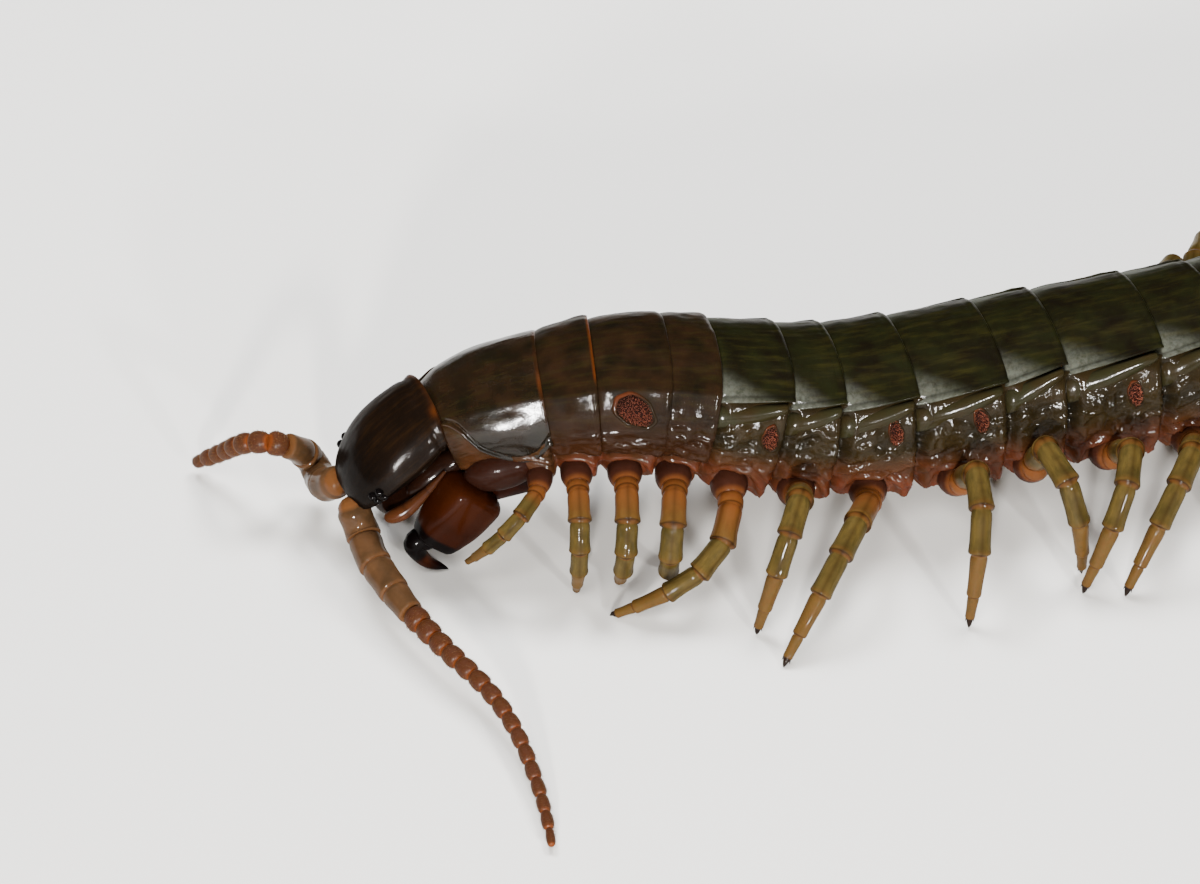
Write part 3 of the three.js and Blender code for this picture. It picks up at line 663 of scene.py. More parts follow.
class CENTIPEDE_OT_back_plates(bpy.types.Operator):
    """Makes the 21 overlapping plates of the back"""

    bl_idname = "centipede.back_plates"
    bl_label = "Back plates"

    def execute(self, context):
        sizes, colours = context.scene.centipede_sizes, context.scene.centipede_colours
        fore = back_material("Chitin fore plate", colours, True)
        rear = back_material("Chitin back plate", colours, False)
        # The first plate is finely pitted, which spreads its shine
        first = back_material("Chitin first plate", colours, True, coat=0.7, coat_rough=0.16, coat_ior=1.4)
        for segment in range(1, SEGMENTS + 1):
            material = first if segment == 1 else fore if segment <= DEEP_PLATES else rear
            piece(f"tergite_{segment:02d}", tergite_patch(segment, sizes), material, "trunk_cuticle")
        return {"FINISHED"}


# Side bands: the glossy rounded strips along the plates' margins

# Height of a strip and how far it swells out, in mm along its segment; its start as a share of that.
BAND_HEIGHT = [(0, 2.3), (0.4, 1.9), (0.75, 1.35), (1, 0.95)]
BAND_SWELL = [(0, -0.5), (0.12, -0.1), (0.5, 0.1), (0.85, 0.22), (0.96, 0.1), (1, -0.2)]
BAND_START = -0.02
BAND_THICKNESS = 0.5


def band_foot(segment, x):
    """Girth share at which the strip under a back plate ends."""
    return plate_margin(segment, x) + through(BAND_HEIGHT, x) / GIRTH_MM


def band_patch(segment, hand):
    """The strip under one side of a back plate."""
    start, length = extent(segment)
    y, across = np.meshgrid(plate_rows(length, 0.1), spread(24, 0.2), indexing="ij")
    x = BAND_START + y
    s = start + x * length
    top = plate_margin(segment, x) + 0.004
    q = top + (band_foot(segment, x) - top) * across
    hump = np.sin(np.pi * np.clip(across, 0, 1)) ** 0.7
    lift = -0.32 + hump * (0.32 + 0.16 * x) + through(BAND_SWELL, y)
    lift = lift + lattice_noise(s * 0.6, q * 22 + segment * 3 + hand, 8) * 0.03
    # The dark at both edges is painted shade, in the crevices against the plate above and the skin below
    values = {
        "along": s, "across": q * GIRTH_MM,
        "dark": np.maximum(bell(across, 0, 0.12), bell(across, 1, 0.1)) * 0.9,
    }
    return plate(s, hand * q, lift, BAND_THICKNESS, values)


class CENTIPEDE_OT_side_bands(bpy.types.Operator):
    """Makes the glossy rounded strips under the plates' margins"""

    bl_idname = "centipede.side_bands"
    bl_label = "Side bands"

    def execute(self, context):
        colours = context.scene.centipede_colours
        # Thin chitin over soft skin: shinier and greener than the back
        material = cuticle(
            "Chitin side band", base="#1f1e10", deep=colours.side, rough=0.4, coat=0.3, coat_rough=0.12,
            grain=0.3, grain_depth=0.01, through=0.0,
        )
        bands = [band_patch(i, hand) for i in range(DEEP_PLATES + 1, SEGMENTS + 1) for hand in SIDES.values()]
        piece("side_bands", join(bands), material, "trunk_cuticle")
        return {"FINISHED"}


# Trunk skin

# Where a leg's socket is: share of its segment's length, and of the half girth.
HIP_ALONG = 0.45
FIRST_HIP_ALONG = 0.84
HIP_GIRTH = 0.665
# Grooves and raised arcs round a socket: height over the skin, distance from the socket and width, mm.
NEAR_ARCS = [(-0.3, 2.0, 0.28), (0.26, 2.55, 0.34)]
FAR_ARCS = [(-0.16, 3.05, 0.2), (0.16, 3.5, 0.3)]
# Distance in mm of the places along the skin; the rings that close each of its ends, and how far they reach.
SKIN_STEP = 0.26
END_RINGS = 4
END_REACH = {-1: 0.05, 1: 1.2}
# Where a spiracle sits: share of its segment's length and of the half girth; its half width and half
# height in mm; degrees that its top leans to the head.
USUAL_SPIRACLE = (0.7, 0.362, 0.62, 1.02, 14)
FIFTH_SPIRACLE = (0.79, 0.385, 0.66, 1.08, 10)
THIRD_SPIRACLE = (0.55, 0.325, 1.08, 1.62, 52)


def spiracle_place(segment):
    """Place, size and turn of a segment's spiracles."""
    return {3: THIRD_SPIRACLE, 5: FIFTH_SPIRACLE}.get(segment, USUAL_SPIRACLE)


def segment_of(s):
    """Segment number, share of its length and its length, for places along the trunk."""
    i = np.clip(np.searchsorted(TERGITE_STARTS, s, side="right") - 1, 0, SEGMENTS - 1)
    return i + 1, (s - TERGITE_STARTS[i]) / TERGITE_LENGTHS[i], TERGITE_LENGTHS[i]


def skin_lift(s, girth, sizes):
    """Height of the soft skin over the trunk's outline, and its colour masks."""
    q = np.abs(girth)
    segment, x, length = segment_of(s)
    usual = np.where(segment > DEEP_PLATES, 1.0, 0.5)
    side = smooth((q - 0.25) / 0.06) * (1 - smooth((q - 0.82) / 0.08))
    lift = -0.62 * (1 - smooth((q - 0.21) / 0.08)) - 0.3 * smooth((q - 0.8) / 0.08)
    lift = lift - 0.6 * ((segment > 1) & (segment <= DEEP_PLATES)) * (1 - smooth((q - 0.5) / 0.08))
    # Each segment's skin ends in a lobe over the next one
    behind = (1 - x) * length
    ahead = x * length
    tuck = 0.85 * (1 - smooth(ahead / 1.3)) * (0.6 + 0.4 * usual) + 0.7 * smooth((0.35 - behind) / 0.35)
    flap = 0.22 * bell(behind, 0.75, 0.55) + 0.12 * lattice_noise(q * 14, segment * 3.7 + q, sizes.seed + 5)
    lift = lift + (usual * flap * smooth((1.8 - behind) / 1.2) - tuck * np.where(segment > 1, 1, 0.2)) * side
    along = (x - np.where(segment == 1, FIRST_HIP_ALONG, HIP_ALONG)) * length
    around = (q - HIP_GIRTH) * GIRTH_MM
    ring = np.hypot(along * 0.92, around)
    above = smooth((0.9 - around) / 1.2)
    # Socket of the leg: a soft cushion, a groove, and two raised arcs above it
    lift = with_lines(lift + 0.75 * bell(ring, 0, 1.9), ring, NEAR_ARCS, above)
    lift = with_lines(lift, ring, FAR_ARCS, above * usual)
    # The lobe behind each socket, and a small one ahead of it
    lobe = bell(x, 0.87, 0.13) * bell(q, 0.64, 0.085)
    lift = lift + usual * (0.75 * lobe + 0.5 * bell(x, 0.12, 0.1) * bell(q, 0.67, 0.06))
    # Folds run along the body high on the side and slant down to the sockets
    away = 1 - bell(ring, 0, 2.3)
    soft = smooth((q - 0.32) / 0.05) * (1 - smooth((q - 0.72) / 0.1)) * side
    slant = girth * GIRTH_MM + 0.42 * along
    broad = creases(s * 0.42 + 3, slant * 0.95, sizes.seed)
    folds = creases(s * 1.15 + 7, slant * 2.2, sizes.seed + 1)
    fine = creases(s * 2.4, slant * 4.0, sizes.seed + 2)
    height = sizes.fold_height * np.where(segment > DEEP_PLATES, 1.0, 0.25)
    lift = lift + soft * height * (0.9 * broad + 0.7 * folds + 0.2 * fine) * (0.25 + 0.75 * away)
    # Level ground for the spiracles
    for number in SPIRACLE_SEGMENTS:
        share, middle, wide, tall, _ = spiracle_place(number)
        reach = np.hypot((x - share) * length / (wide + 0.35), (q - middle) * GIRTH_MM / (tall + 0.35))
        level = (segment == number) * (1 - smooth((reach - 0.75) / 0.6))
        lift = lift * (1 - level) - 0.04 * level
    # Reddish low on the side and flushed round the sockets; painted shade in the grooves round the sockets,
    # in the tucks between segments and in the fold valleys
    low = smooth((q - np.where(segment > DEEP_PLATES, 0.42, 0.48)) / 0.14)
    near = 1 - smooth((ring - 2.1) / 1.5)
    warm = np.maximum(0.9 * low, 0.9 * near)
    warm = np.where(segment <= DEEP_PLATES, np.maximum(warm, 0.4 * smooth((q - 0.25) / 0.3)), warm)
    warm = warm * np.where(segment == 1, 0.5, 1.0)
    flush = np.maximum(np.maximum(0.95 * lobe, 0.85 * near), 0.85 * smooth((q - 0.5) / 0.1))
    flush = flush + 0.35 * usual * bell(behind, 0.5, 0.4) * low
    # Pinkish grey folds between the first plate and the jaws
    flush = np.where(segment == 1, 0.2 * smooth((q - 0.2) / 0.1), flush)
    dark = 0.3 * bell(ring, 2.02, 0.24) * above + 0.75 * tuck * side * (1 - 0.6 * low)
    dark = dark + 0.2 * bell(ring, 3.05, 0.2) * above
    dark = dark + 0.35 * soft * height / max(sizes.fold_height, 0.01) * smooth(0.3 - broad) * (1 - near)
    return lift, {"along": s, "across": girth * GIRTH_MM, "warm": warm, "flush": flush, "dark": dark}


def skin_patch(sizes):
    """The whole trunk's skin, closed at both ends."""
    s = np.arange(0.2, TRUNK_LENGTH - 0.1, SKIN_STEP)
    girth = both_halves(np.concatenate([
        np.linspace(0, 0.22, 5)[:-1], np.linspace(0.22, 0.8, 72)[:-1], np.linspace(0.8, 1, 7),
    ]))
    s, girth = np.meshgrid(s, girth, indexing="ij")
    lift, values = skin_lift(s, girth, sizes)
    rings = girth_point(s, girth, lift)
    # Each end closes over a few shrinking rings
    ends = {-1: [], 1: []}
    for sign, ring, place_s in ((-1, rings[0], 0.0), (1, rings[-1], TRUNK_LENGTH)):
        way = direction_at(place_s) * sign * END_REACH[sign]
        for k in range(1, END_RINGS + 1):
            turn = k / (END_RINGS + 0.6) * math.pi / 2
            ends[sign].append(ring.mean(0) + (ring - ring.mean(0)) * math.cos(turn) + way * math.sin(turn))
    rings = np.concatenate([np.array(ends[-1][::-1]), rings, np.array(ends[1])])
    edge = ((END_RINGS, END_RINGS), (0, 0))
    return tube(rings, {name: np.pad(value, edge, "edge") for name, value in values.items()})


class CENTIPEDE_OT_trunk_skin(bpy.types.Operator):
    """Makes the soft wrinkled skin of the sides as one closed surface"""

    bl_idname = "centipede.trunk_skin"
    bl_label = "Trunk skin"

    def execute(self, context):
        sizes, colours = context.scene.centipede_sizes, context.scene.centipede_colours
        # Untanned pleural membrane: folded, wet-looking, with reddish flesh showing round the sockets
        material = cuticle(
            "Pleural membrane", base=colours.side, deep="#171208", warm="#3a2010", flush=colours.socket,
            rough=0.4, coat=0.27, grain=0.22, fold=0.03, fold_size=0.5, through=0.05, depth=0.6,
        )
        trunk = [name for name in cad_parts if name.startswith("trunk_")]
        piece("trunk_skin", skin_patch(sizes), material, "trunk_cuticle", *trunk)
        return {"FINISHED"}


# A belly plate's half width as a share of the half girth, and its thickness in mm.
BELLY_REACH = 0.205
BELLY_THICKNESS = 0.3


def belly_patch(segment):
    """The plate of one segment's belly, with its two grooves."""
    start, length = extent(segment)
    y, across = np.meshgrid(spread(24), spread(36) * 2 - 1, indexing="ij")
    s = start + (0.06 + 0.9 * y) * length
    reach = BELLY_REACH - 0.03 * np.abs(2 * y - 1) ** 3
    girth = np.where(across < 0, 1, -1) * (1 - reach * np.abs(across))
    groove = bell(np.abs(across), 0.42, 0.03) * smooth(y / 0.2) * smooth((1 - y) / 0.2)
    lift = 0.05 - 0.1 * groove + 0.03 * lattice_noise(s, across * 3, 11)
    # Painted shade darkens the two grooves
    return plate(s, girth, lift, BELLY_THICKNESS, {"warm": 0.3 * bell(y, 1, 0.08), "dark": groove * 0.4})


class CENTIPEDE_OT_belly_plates(bpy.types.Operator):
    """Makes the plates of the belly"""

    bl_idname = "centipede.belly_plates"
    bl_label = "Belly plates"

    def execute(self, context):
        # Thin belly chitin, paler than the back
        material = cuticle(
            "Chitin belly plate", base="#4e3a1c", deep="#3c2c12", warm=context.scene.centipede_colours.rim,
            rough=0.34, coat=0.21,
        )
        plates = [belly_patch(segment) for segment in range(2, SEGMENTS + 1)]
        piece("belly_plates", join(plates), material, "trunk_cuticle")
        return {"FINISHED"}


# Legs

# A leg's articles: share of its length, and radius at the start and end as a share of the leg's.
LEG_ARTICLES = [
    ("trochanter", 0.05, 1.0, 1.0), ("prefemur", 0.215, 0.9, 1.0), ("femur", 0.195, 0.82, 0.9),
    ("tibia", 0.195, 0.72, 0.78), ("tarsus1", 0.195, 0.62, 0.5), ("tarsus2", 0.11, 0.42, 0.34),
    ("claw", 0.04, 0.24, 0.2),
]
# How the bend of a leg is shared out to the articles' joints, and the room between leg and coxa in mm.
LEG_BENDS = [0, 0.45, 1.1, 0.9, 0.4, 0.15, 0.1]
GAP = 0.3
# Where a leg leaves its segment: share of the tergite's length, of the trunk's width and of its height.
USUAL_HIP = (HIP_ALONG, 0.43, 0.16)
FIRST_HIP = (FIRST_HIP_ALONG, 0.47, 0.12)
# A coxa's length in mm, and how far it droops and turns to the leg as shares of its way out.
COXA_LENGTH = 2.1
COXA_DROOP = 0.3
COXA_TURN = 0.8
COXA_ROUNDS = 4
# The bend of a leg is found between none and this one, in so many halvings.
MOST_BEND = 1.6
HALVINGS = 40
# Length and thickness of a leg in mm, by pair.
LEG_LENGTH = [
    (1, 11.3), (2, 13.6), (4, 15.4), (5, 17), (7, 19.8), (12, 20), (18, 21), (20, 23), (21, 29),
]
LEG_THICK = [(1, 1.6), (2, 2.0), (5, 2.35), (12, 2.45), (20, 2.5), (21, 2.7)]
# How each foot stands: degrees it swings to the tail, reach from the root in mm, degrees the knee leans out.
LEFT_STANCE = [
    (-64, 7.7, 62), (-5, 4.6, 50), (-14, 3.4, 50), (-20, 1.8, 20), (-59, 13.4, 95), (-27, 12.2, 30),
    (-37, 18.7, 30), (-11, 13.7, 35), (13, 9.4, 50), (-26, 12.9, 40), (-39, 16.3, 25),
]
RIGHT_STANCE = [
    (-61, 7.7, 60), (-12, 5.0, 50), (-4, 4.6, 50), (12, 6.4, 30), (50, 15.4, 0), (54, 17.2, 0),
    (56, 18.2, 0), (56, 18.4, 0), (54, 18.4, 0), (50, 18.2, 0), (44, 17.8, 0),
]
LAST_STANCE = (60, 25.5, 0)
USUAL_LEAN = 25
# Height at which the first pair is held.
FIRST_TIPS = 3.0
# The gait wave behind the listed pairs: middle and swing in degrees, and pairs to a wave, on each side. The
# middle drifts by so many degrees a pair, and the wave fades over so many pairs.
WAVES = {1: (-6, -33, 9.5), -1: (25, 19, 9)}
WAVE_DRIFT = 1.6
WAVE_FADE = 22
WAVE_REACH = 15.6


def stance(pair, hand):
    """A listed stance, or one from the gait wave that runs along each side."""
    listed = LEFT_STANCE if hand > 0 else RIGHT_STANCE
    if pair <= len(listed):
        return listed[pair - 1]
    if pair == SEGMENTS:
        return LAST_STANCE
    middle, swing, period = WAVES[hand]
    n = pair - len(listed)
    wave = swing * (1 - n / WAVE_FADE) * math.cos(2 * math.pi * n / period)
    return middle + WAVE_DRIFT * n + wave, WAVE_REACH, USUAL_LEAN


def unit(v):
    """The direction of a vector."""
    return v / np.linalg.norm(v)


def bend_leg(lengths, chord):
    """Angles from the chord of a chain of articles whose ends are that chord apart, found by halving."""
    def chain(bend):
        angles = -np.cumsum(bend * np.array(LEG_BENDS))
        return angles, float((lengths * np.cos(angles)).sum()), float((lengths * np.sin(angles)).sum())

    low, high = 0.0, MOST_BEND
    for _ in range(HALVINGS):
        middle = (low + high) / 2
        _, x, y = chain(middle)
        if math.hypot(x, y) > chord:
            low = middle
        else:
            high = middle
    angles, x, y = chain(low)
    return angles - math.atan2(y, x)


class Leg:
    """One leg's place: root in the trunk, coxa, hip, foot and the directions of its articles."""

    def __init__(self, pair, hand):
        self.pair, self.hand = pair, hand
        share, outside, up = FIRST_HIP if pair == 1 else USUAL_HIP
        start, length = extent(pair)
        s = start + share * length
        top, bottom = at(BACK_HEIGHT, s), -at(BELLY_DEPTH, s)
        _, tail, left, _ = frames_at(s)
        swing, reach, lean = stance(pair, hand)
        out = left * hand
        back = unit(np.array([tail[0], tail[1], 0]))
        self.root = place(s, hand * outside * at(WIDTH, s), bottom + up * (top - bottom))
        swing, lean = math.radians(swing), math.radians(lean)
        foot = np.array([self.root[0], self.root[1], FIRST_TIPS if pair == 1 else 0.0])
        foot = foot + out * reach * math.cos(swing) + back * reach * math.sin(swing)
        self.foot = foot
        self.lengths = np.array([a[1] for a in LEG_ARTICLES]) * at(LEG_LENGTH, pair)
        self.coxa = unit(np.array([out[0], out[1], -COXA_DROOP]))
        for _ in range(COXA_ROUNDS):
            self.hip = self.root + self.coxa * COXA_LENGTH
            chord = foot - self.hip - self.coxa * GAP
            angles = bend_leg(self.lengths, float(np.linalg.norm(chord)))
            along = unit(chord)
            lift = out * math.sin(lean) + np.array([0, 0, math.cos(lean)])
            lift = unit(lift - along * lift.dot(along))
            self.directions = [along * math.cos(a) + lift * math.sin(a) for a in angles]
            self.coxa = unit(np.array([out[0], out[1], -COXA_DROOP]) + self.directions[0] * COXA_TURN)
        self.hip = self.root + self.coxa * COXA_LENGTH
        self.side = np.cross(along, lift)
        self.radius = at(LEG_THICK, pair) / 2


LEGS = [Leg(pair, hand) for pair in range(1, SEGMENTS + 1) for hand in SIDES.values()]


def ring_across(centre, axis, side, sides, wide, high=None):
    """A ring about a centre, square to an axis: round, or an oval when high is given."""
    axis = unit(axis)
    u = unit(side - axis * side.dot(axis))
    v = np.cross(axis, u)
    a = circle(sides)
    return centre + np.outer(wide * np.cos(a), u) + np.outer((wide if high is None else high) * np.sin(a), v)


def dome_rings(centre, axis, side, sides, size, angles):
    """Rings of an ellipsoid about an axis, at angles in degrees.

    size is half its length, width and height. The length is minus where the rings run against the axis.
    """
    rings = []
    for a in np.radians(angles):
        middle = centre + axis * size[0] * math.sin(a)
        rings.append(ring_across(middle, axis, side, sides, size[1] * math.cos(a), size[2] * math.cos(a)))
    return rings


# Radius of an article along its length, as a share of the straight taper: neck, shoulder, waist, collar.
ARTICLE_FORM = [
    (0, 0.87), (0.03, 0.92), (0.06, 0.99), (0.16, 1.03), (0.5, 0.98), (0.8, 1.0), (0.92, 1.05), (0.965, 1.05),
    (0.985, 0.99), (1, 0.9),
]
ARTICLE_PLACES = [0, 0.02, 0.045, 0.075, 0.12, 0.2, 0.35, 0.5, 0.65, 0.78, 0.87, 0.925, 0.955, 0.975, 0.99, 1]
TROCHANTER_FORM = [(0, 0.92), (0.3, 0.99), (0.75, 0.97), (1, 0.9)]
LEG_RING_SIDES = 24
# Pairs whose thighs are orange nearly all the way, and the share of the others that is.
BRIGHT_THIGHS = (2, 3, 4, 5, 7)
USUAL_THIGH = 0.45
# How far the first article is pushed into its coxa, mm.
LEG_SINK = 0.05


def leg_patch(leg):
    """A leg from trochanter to second tarsus, with collars and soft rings at its joints."""
    rings, masks = [], {"warm": [], "dark": [], "pale": [], "along": []}
    joint = leg.hip + leg.coxa * LEG_SINK
    reached = 0.0
    angle = circle(LEG_RING_SIDES)
    for k, (name, _, start, end) in enumerate(LEG_ARTICLES[:-1]):
        before = leg.directions[k - 1] if k else leg.coxa
        here, after = leg.directions[k], leg.directions[k + 1]
        length = leg.lengths[k] + (0 if k else GAP - LEG_SINK)
        for t in ARTICLE_PLACES[min(k, 1):]:
            axis = here + before * max(0, 0.5 - t / 0.24) + after * max(0, (t - 0.88) / 0.24)
            size = leg.radius * (start + (end - start) * t) * at(ARTICLE_FORM, t)
            if name == "trochanter":
                size = leg.radius * at(TROCHANTER_FORM, t)
            # A slight keel along the upper and lower sides
            keel = 1 + 0.035 * np.cos(2 * angle) * math.sin(math.pi * t)
            centre = joint + here * length * t
            ring = ring_across(centre, axis, leg.side, LEG_RING_SIDES, size)
            rings.append(centre + (ring - centre) * keel[:, None])
            rest = (1 - t) * length
            soft = max(0.0, 0.7 - t * length / 0.18, 0.7 - rest / 0.08)
            thigh = 0.0
            if name == "trochanter":
                thigh = 0.9
            elif name == "prefemur":
                thigh = 0.95 - 0.65 * t if leg.pair in BRIGHT_THIGHS else 0.9 * max(0.0, 1 - t / USUAL_THIGH)
            masks["warm"].append([max(soft, 0.2 * bell(rest, 0.2, 0.14), thigh)])
            # A line and a spot at the end of each article, and dark streaks along the shafts, which are
            # painted shade for the darker sides of the round shafts
            dark = 0.85 * bell(rest, 0.03, 0.05) + bell(angle, math.pi / 2, 0.35) * bell(rest, 0, 0.2)
            dark = dark + 0.5 * (name in ("femur", "tibia", "prefemur")) * np.abs(np.cos(angle * 2)) ** 8
            masks["dark"].append(np.clip(dark, 0, 1))
            masks["pale"].append([0.85 if name.startswith("tarsus") else 0.0])
            masks["along"].append([reached + length * t])
        joint = joint + here * length
        reached += length
    leg.wrist = joint
    held = {name: np.array(values) for name, values in masks.items()}
    return tube(rings, {**held, "across": np.sin(angle) * leg.radius})


def horn(points, radii, side, rings, sides, values=None):
    """A round body along a smooth curve, with radii at shares of its length."""
    curve = dense_curve(points)
    shares = np.linspace(0, 1, rings)
    places, ways = along_curve(curve, shares), ways_along(curve, shares, 0.01)
    loops = [ring_across(places[k], ways[k], side, sides, at(radii, shares[k])) for k in range(rings)]
    held = {name: value(shares)[:, None] for name, value in (values or {}).items()}
    return tube(loops, {**held, "along": (shares * 10)[:, None]})


def dense_curve(points, steps=24):
    """Points of the centripetal smooth curve through the given ones, many to a span."""
    p = np.asarray(points, float)
    p = np.concatenate([[2 * p[0] - p[1]], p, [2 * p[-1] - p[-2]]])
    made = []
    for a, b, c, d in zip(p[:-3], p[1:-2], p[2:-1], p[3:]):
        first, mid, last = (max(np.linalg.norm(k) ** 0.5, 1e-4) for k in (b - a, c - b, d - c))
        m0 = ((b - a) / first - (c - a) / (first + mid) + (c - b) / mid) * mid
        m1 = ((c - b) / mid - (d - b) / (mid + last) + (d - c) / last) * mid
        t = np.linspace(0, 1, steps, endpoint=False)[:, None]
        made.append(b + m0 * t + (3 * (c - b) - 2 * m0 - m1) * t**2 + (2 * (b - c) + m0 + m1) * t**3)
    return np.concatenate([*made, p[-2][None]])


def along_curve(curve, shares):
    """Points at shares of a dense curve's length."""
    reach = np.concatenate([[0], np.cumsum(np.linalg.norm(np.diff(curve, axis=0), axis=1))])
    return np.stack([np.interp(np.asarray(shares) * reach[-1], reach, curve[:, k]) for k in range(3)], -1)


def ways_along(curve, shares, step):
    """Directions of a dense curve at shares of its length."""
    return along_curve(curve, np.clip(shares + step, 0, 1)) - along_curve(curve, np.clip(shares - step, 0, 1))


def claw_patches(leg):
    """A leg's curved claw and the two spurs at its base."""
    tip, start = leg.foot, leg.wrist
    way = unit(tip - start)
    out = unit(np.cross(leg.side, way))
    if out[2] < 0:
        out = -out
    length = float(np.linalg.norm(tip - start))
    base = leg.radius * 0.3
    bow = start + way * length * 0.55 + out * 0.1
    radii = [(0, base), (0.4, base * 0.8), (0.8, base * 0.4), (1, 0.03)]
    claw = horn([start - way * 0.25, start, bow, tip], radii, leg.side, 12, 10)
    spurs = []
    for turn in SIDES.values():
        root = start + leg.side * turn * base * 0.8
        spurs.append(horn([root - way * 0.1, root + way * 0.35 + leg.side * turn * 0.08],
                          [(0, base * 0.3), (1, 0.02)], leg.side, 4, 6))
    return [claw, *spurs]


# Radius of a leg's base along it: mm from the root, share of the leg's radius.
DOME_FORM = [
    (-1.8, 1.25), (-0.6, 1.34), (0.3, 1.42), (0.9, 1.42), (1.3, 1.34), (1.7, 1.17), (1.95, 1.03), (2.12, 0.9),
]


def dome_patch(leg):
    """The dome in the trunk's side that a leg turns in, with the ring that holds it."""
    places = np.concatenate([np.linspace(-1.8, 0.9, 10), np.linspace(1.0, 2.12, 15)])
    rings = []
    for p in places:
        radius = leg.radius * at(DOME_FORM, p)
        rings.append(ring_across(leg.root + leg.coxa * p, leg.coxa, leg.side, LEG_RING_SIDES, radius))
    dark = 0.3 * bell(places, 0.5, 0.5) + 0.6 * bell(places, 2.1, 0.08)
    return tube(rings, {"warm": 0.8 * smooth((places - 1.5) / 0.6)[:, None], "dark": dark[:, None]})


class CENTIPEDE_OT_legs(bpy.types.Operator):
    """Makes the 42 legs, their bases and their claws"""

    bl_idname = "centipede.legs"
    bl_label = "Legs"

    def execute(self, context):
        colours = context.scene.centipede_colours
        # Thin springy chitin that light shines into: olive shafts, orange joints, brown tarsi
        shaft = cuticle(
            "Chitin leg", base=colours.leg, deep="#322a13", warm=colours.thigh, pale=colours.tarsus,
            pale_rough=0.05, dark="#1c0f04", rough=0.4, coat_rough=0.05, grain=0.16, grain_depth=0.005,
            through=0.03, depth=0.3, streak=0.4, streak_colour="#5f4d24", streaks_per_mm=2.2, cloud=1.4,
        )
        for leg in LEGS:
            name = f"{'left' if leg.hand > 0 else 'right'}_{leg.pair:02d}"
            piece(f"limb_{name}", leg_patch(leg), shaft, "leg_cuticle", f"leg_{name}")
        # Claws are tanned black right through
        black = cuticle("Chitin claw", base="#0e0806", deep="#180d07", rough=0.3, coat=0.3, through=0.0)
        claws = [patch for leg in LEGS for patch in claw_patches(leg)]
        piece("leg_claws", join(claws), black, "leg_cuticle")
        # Leg bases: glossy purple-brown domes, orange where the leg leaves
        dome = cuticle(
            "Chitin leg base", base="#301911", deep="#25120c", warm=colours.thigh, dark="#241009", rough=0.4,
            coat=0.24, coat_rough=0.07, through=0.06, depth=0.6,
        )
        piece("leg_bases", join([dome_patch(leg) for leg in LEGS]), dome, "trunk_cuticle")
        return {"FINISHED"}


# Spiracles

SPIRACLE_SIDES = 40
# Rings of the lip: share of the oval, height over the skin and how strong the painted light of the orange
# crescent is.
LIP_RINGS = [
    (1.24, -0.5, 0.2), (1.21, -0.1, 0.4), (1.15, 0.05, 0.8), (1.08, 0.1, 1), (1.01, 0.06, 0.9),
    (0.96, -0.02, 0.5), (0.92, -0.5, 0.3),
]
# Rings of the floor: share of the oval, height over the skin, whether it is hairy, and how dark it is, which
# is painted shade where the floor sinks under the lip.
FLOOR_RINGS = [
    (0.99, -0.6, 0, 1), (0.97, -0.12, 0, 1), (0.9, -0.03, 1, 0.5), (0.7, 0.03, 1, 0), (0.45, 0.07, 1, 0),
    (0.2, 0.09, 1, 0),
]
# How far the foremost ones, which sit in a plate, stand over the skin, mm.
OVER_PLATE = 0.12
# Bristles on a square mm, their length and thickness in mm, and how far they lean.
BRISTLES = {"density": 85.0, "length": 0.17, "thick": 0.08, "lean": 0.15}


def spiracle_patches(segment, hand):
    """The lip and the floor of one spiracle, laid on the skin."""
    along, girth, wide, tall, turn = spiracle_place(segment)
    start, length = extent(segment)
    middle = start + along * length
    sine, cosine = math.sin(math.radians(turn)), math.cos(math.radians(turn))
    over = OVER_PLATE if segment <= DEEP_PLATES else 0.0
    a = circle(SPIRACLE_SIDES)
    ragged = 1 + 0.05 * np.sin(3 * a + segment) + 0.03 * np.sin(7 * a + 2 * segment)
    x, y = np.cos(a) * wide * ragged, np.sin(a) * tall * ragged

    def rings(form):
        made = []
        for share, lift, *_ in form:
            s = middle + (x * cosine + y * sine) * share
            q = girth + (y * cosine - x * sine) * share / GIRTH_MM
            made.append(girth_point(s, hand * q, np.full(SPIRACLE_SIDES, lift + over)))
        return made

    # Painted light: an orange crescent on the lip's side that faces up and to the head, where light falls on
    # it
    lit_crescent = math.atan2(-0.6 * sine - 0.8 * cosine, 0.8 * sine - 0.6 * cosine)
    lit_side = np.clip(np.cos(a - lit_crescent), 0, 1) ** 2
    warm = np.array([lit_side * ring[2] for ring in LIP_RINGS])
    hairy, dark = (np.array(FLOOR_RINGS)[:, [k]] for k in (2, 3))
    return tube(rings(LIP_RINGS), {"warm": warm}), tube(rings(FLOOR_RINGS), {"dark": dark, "hairy": hairy})


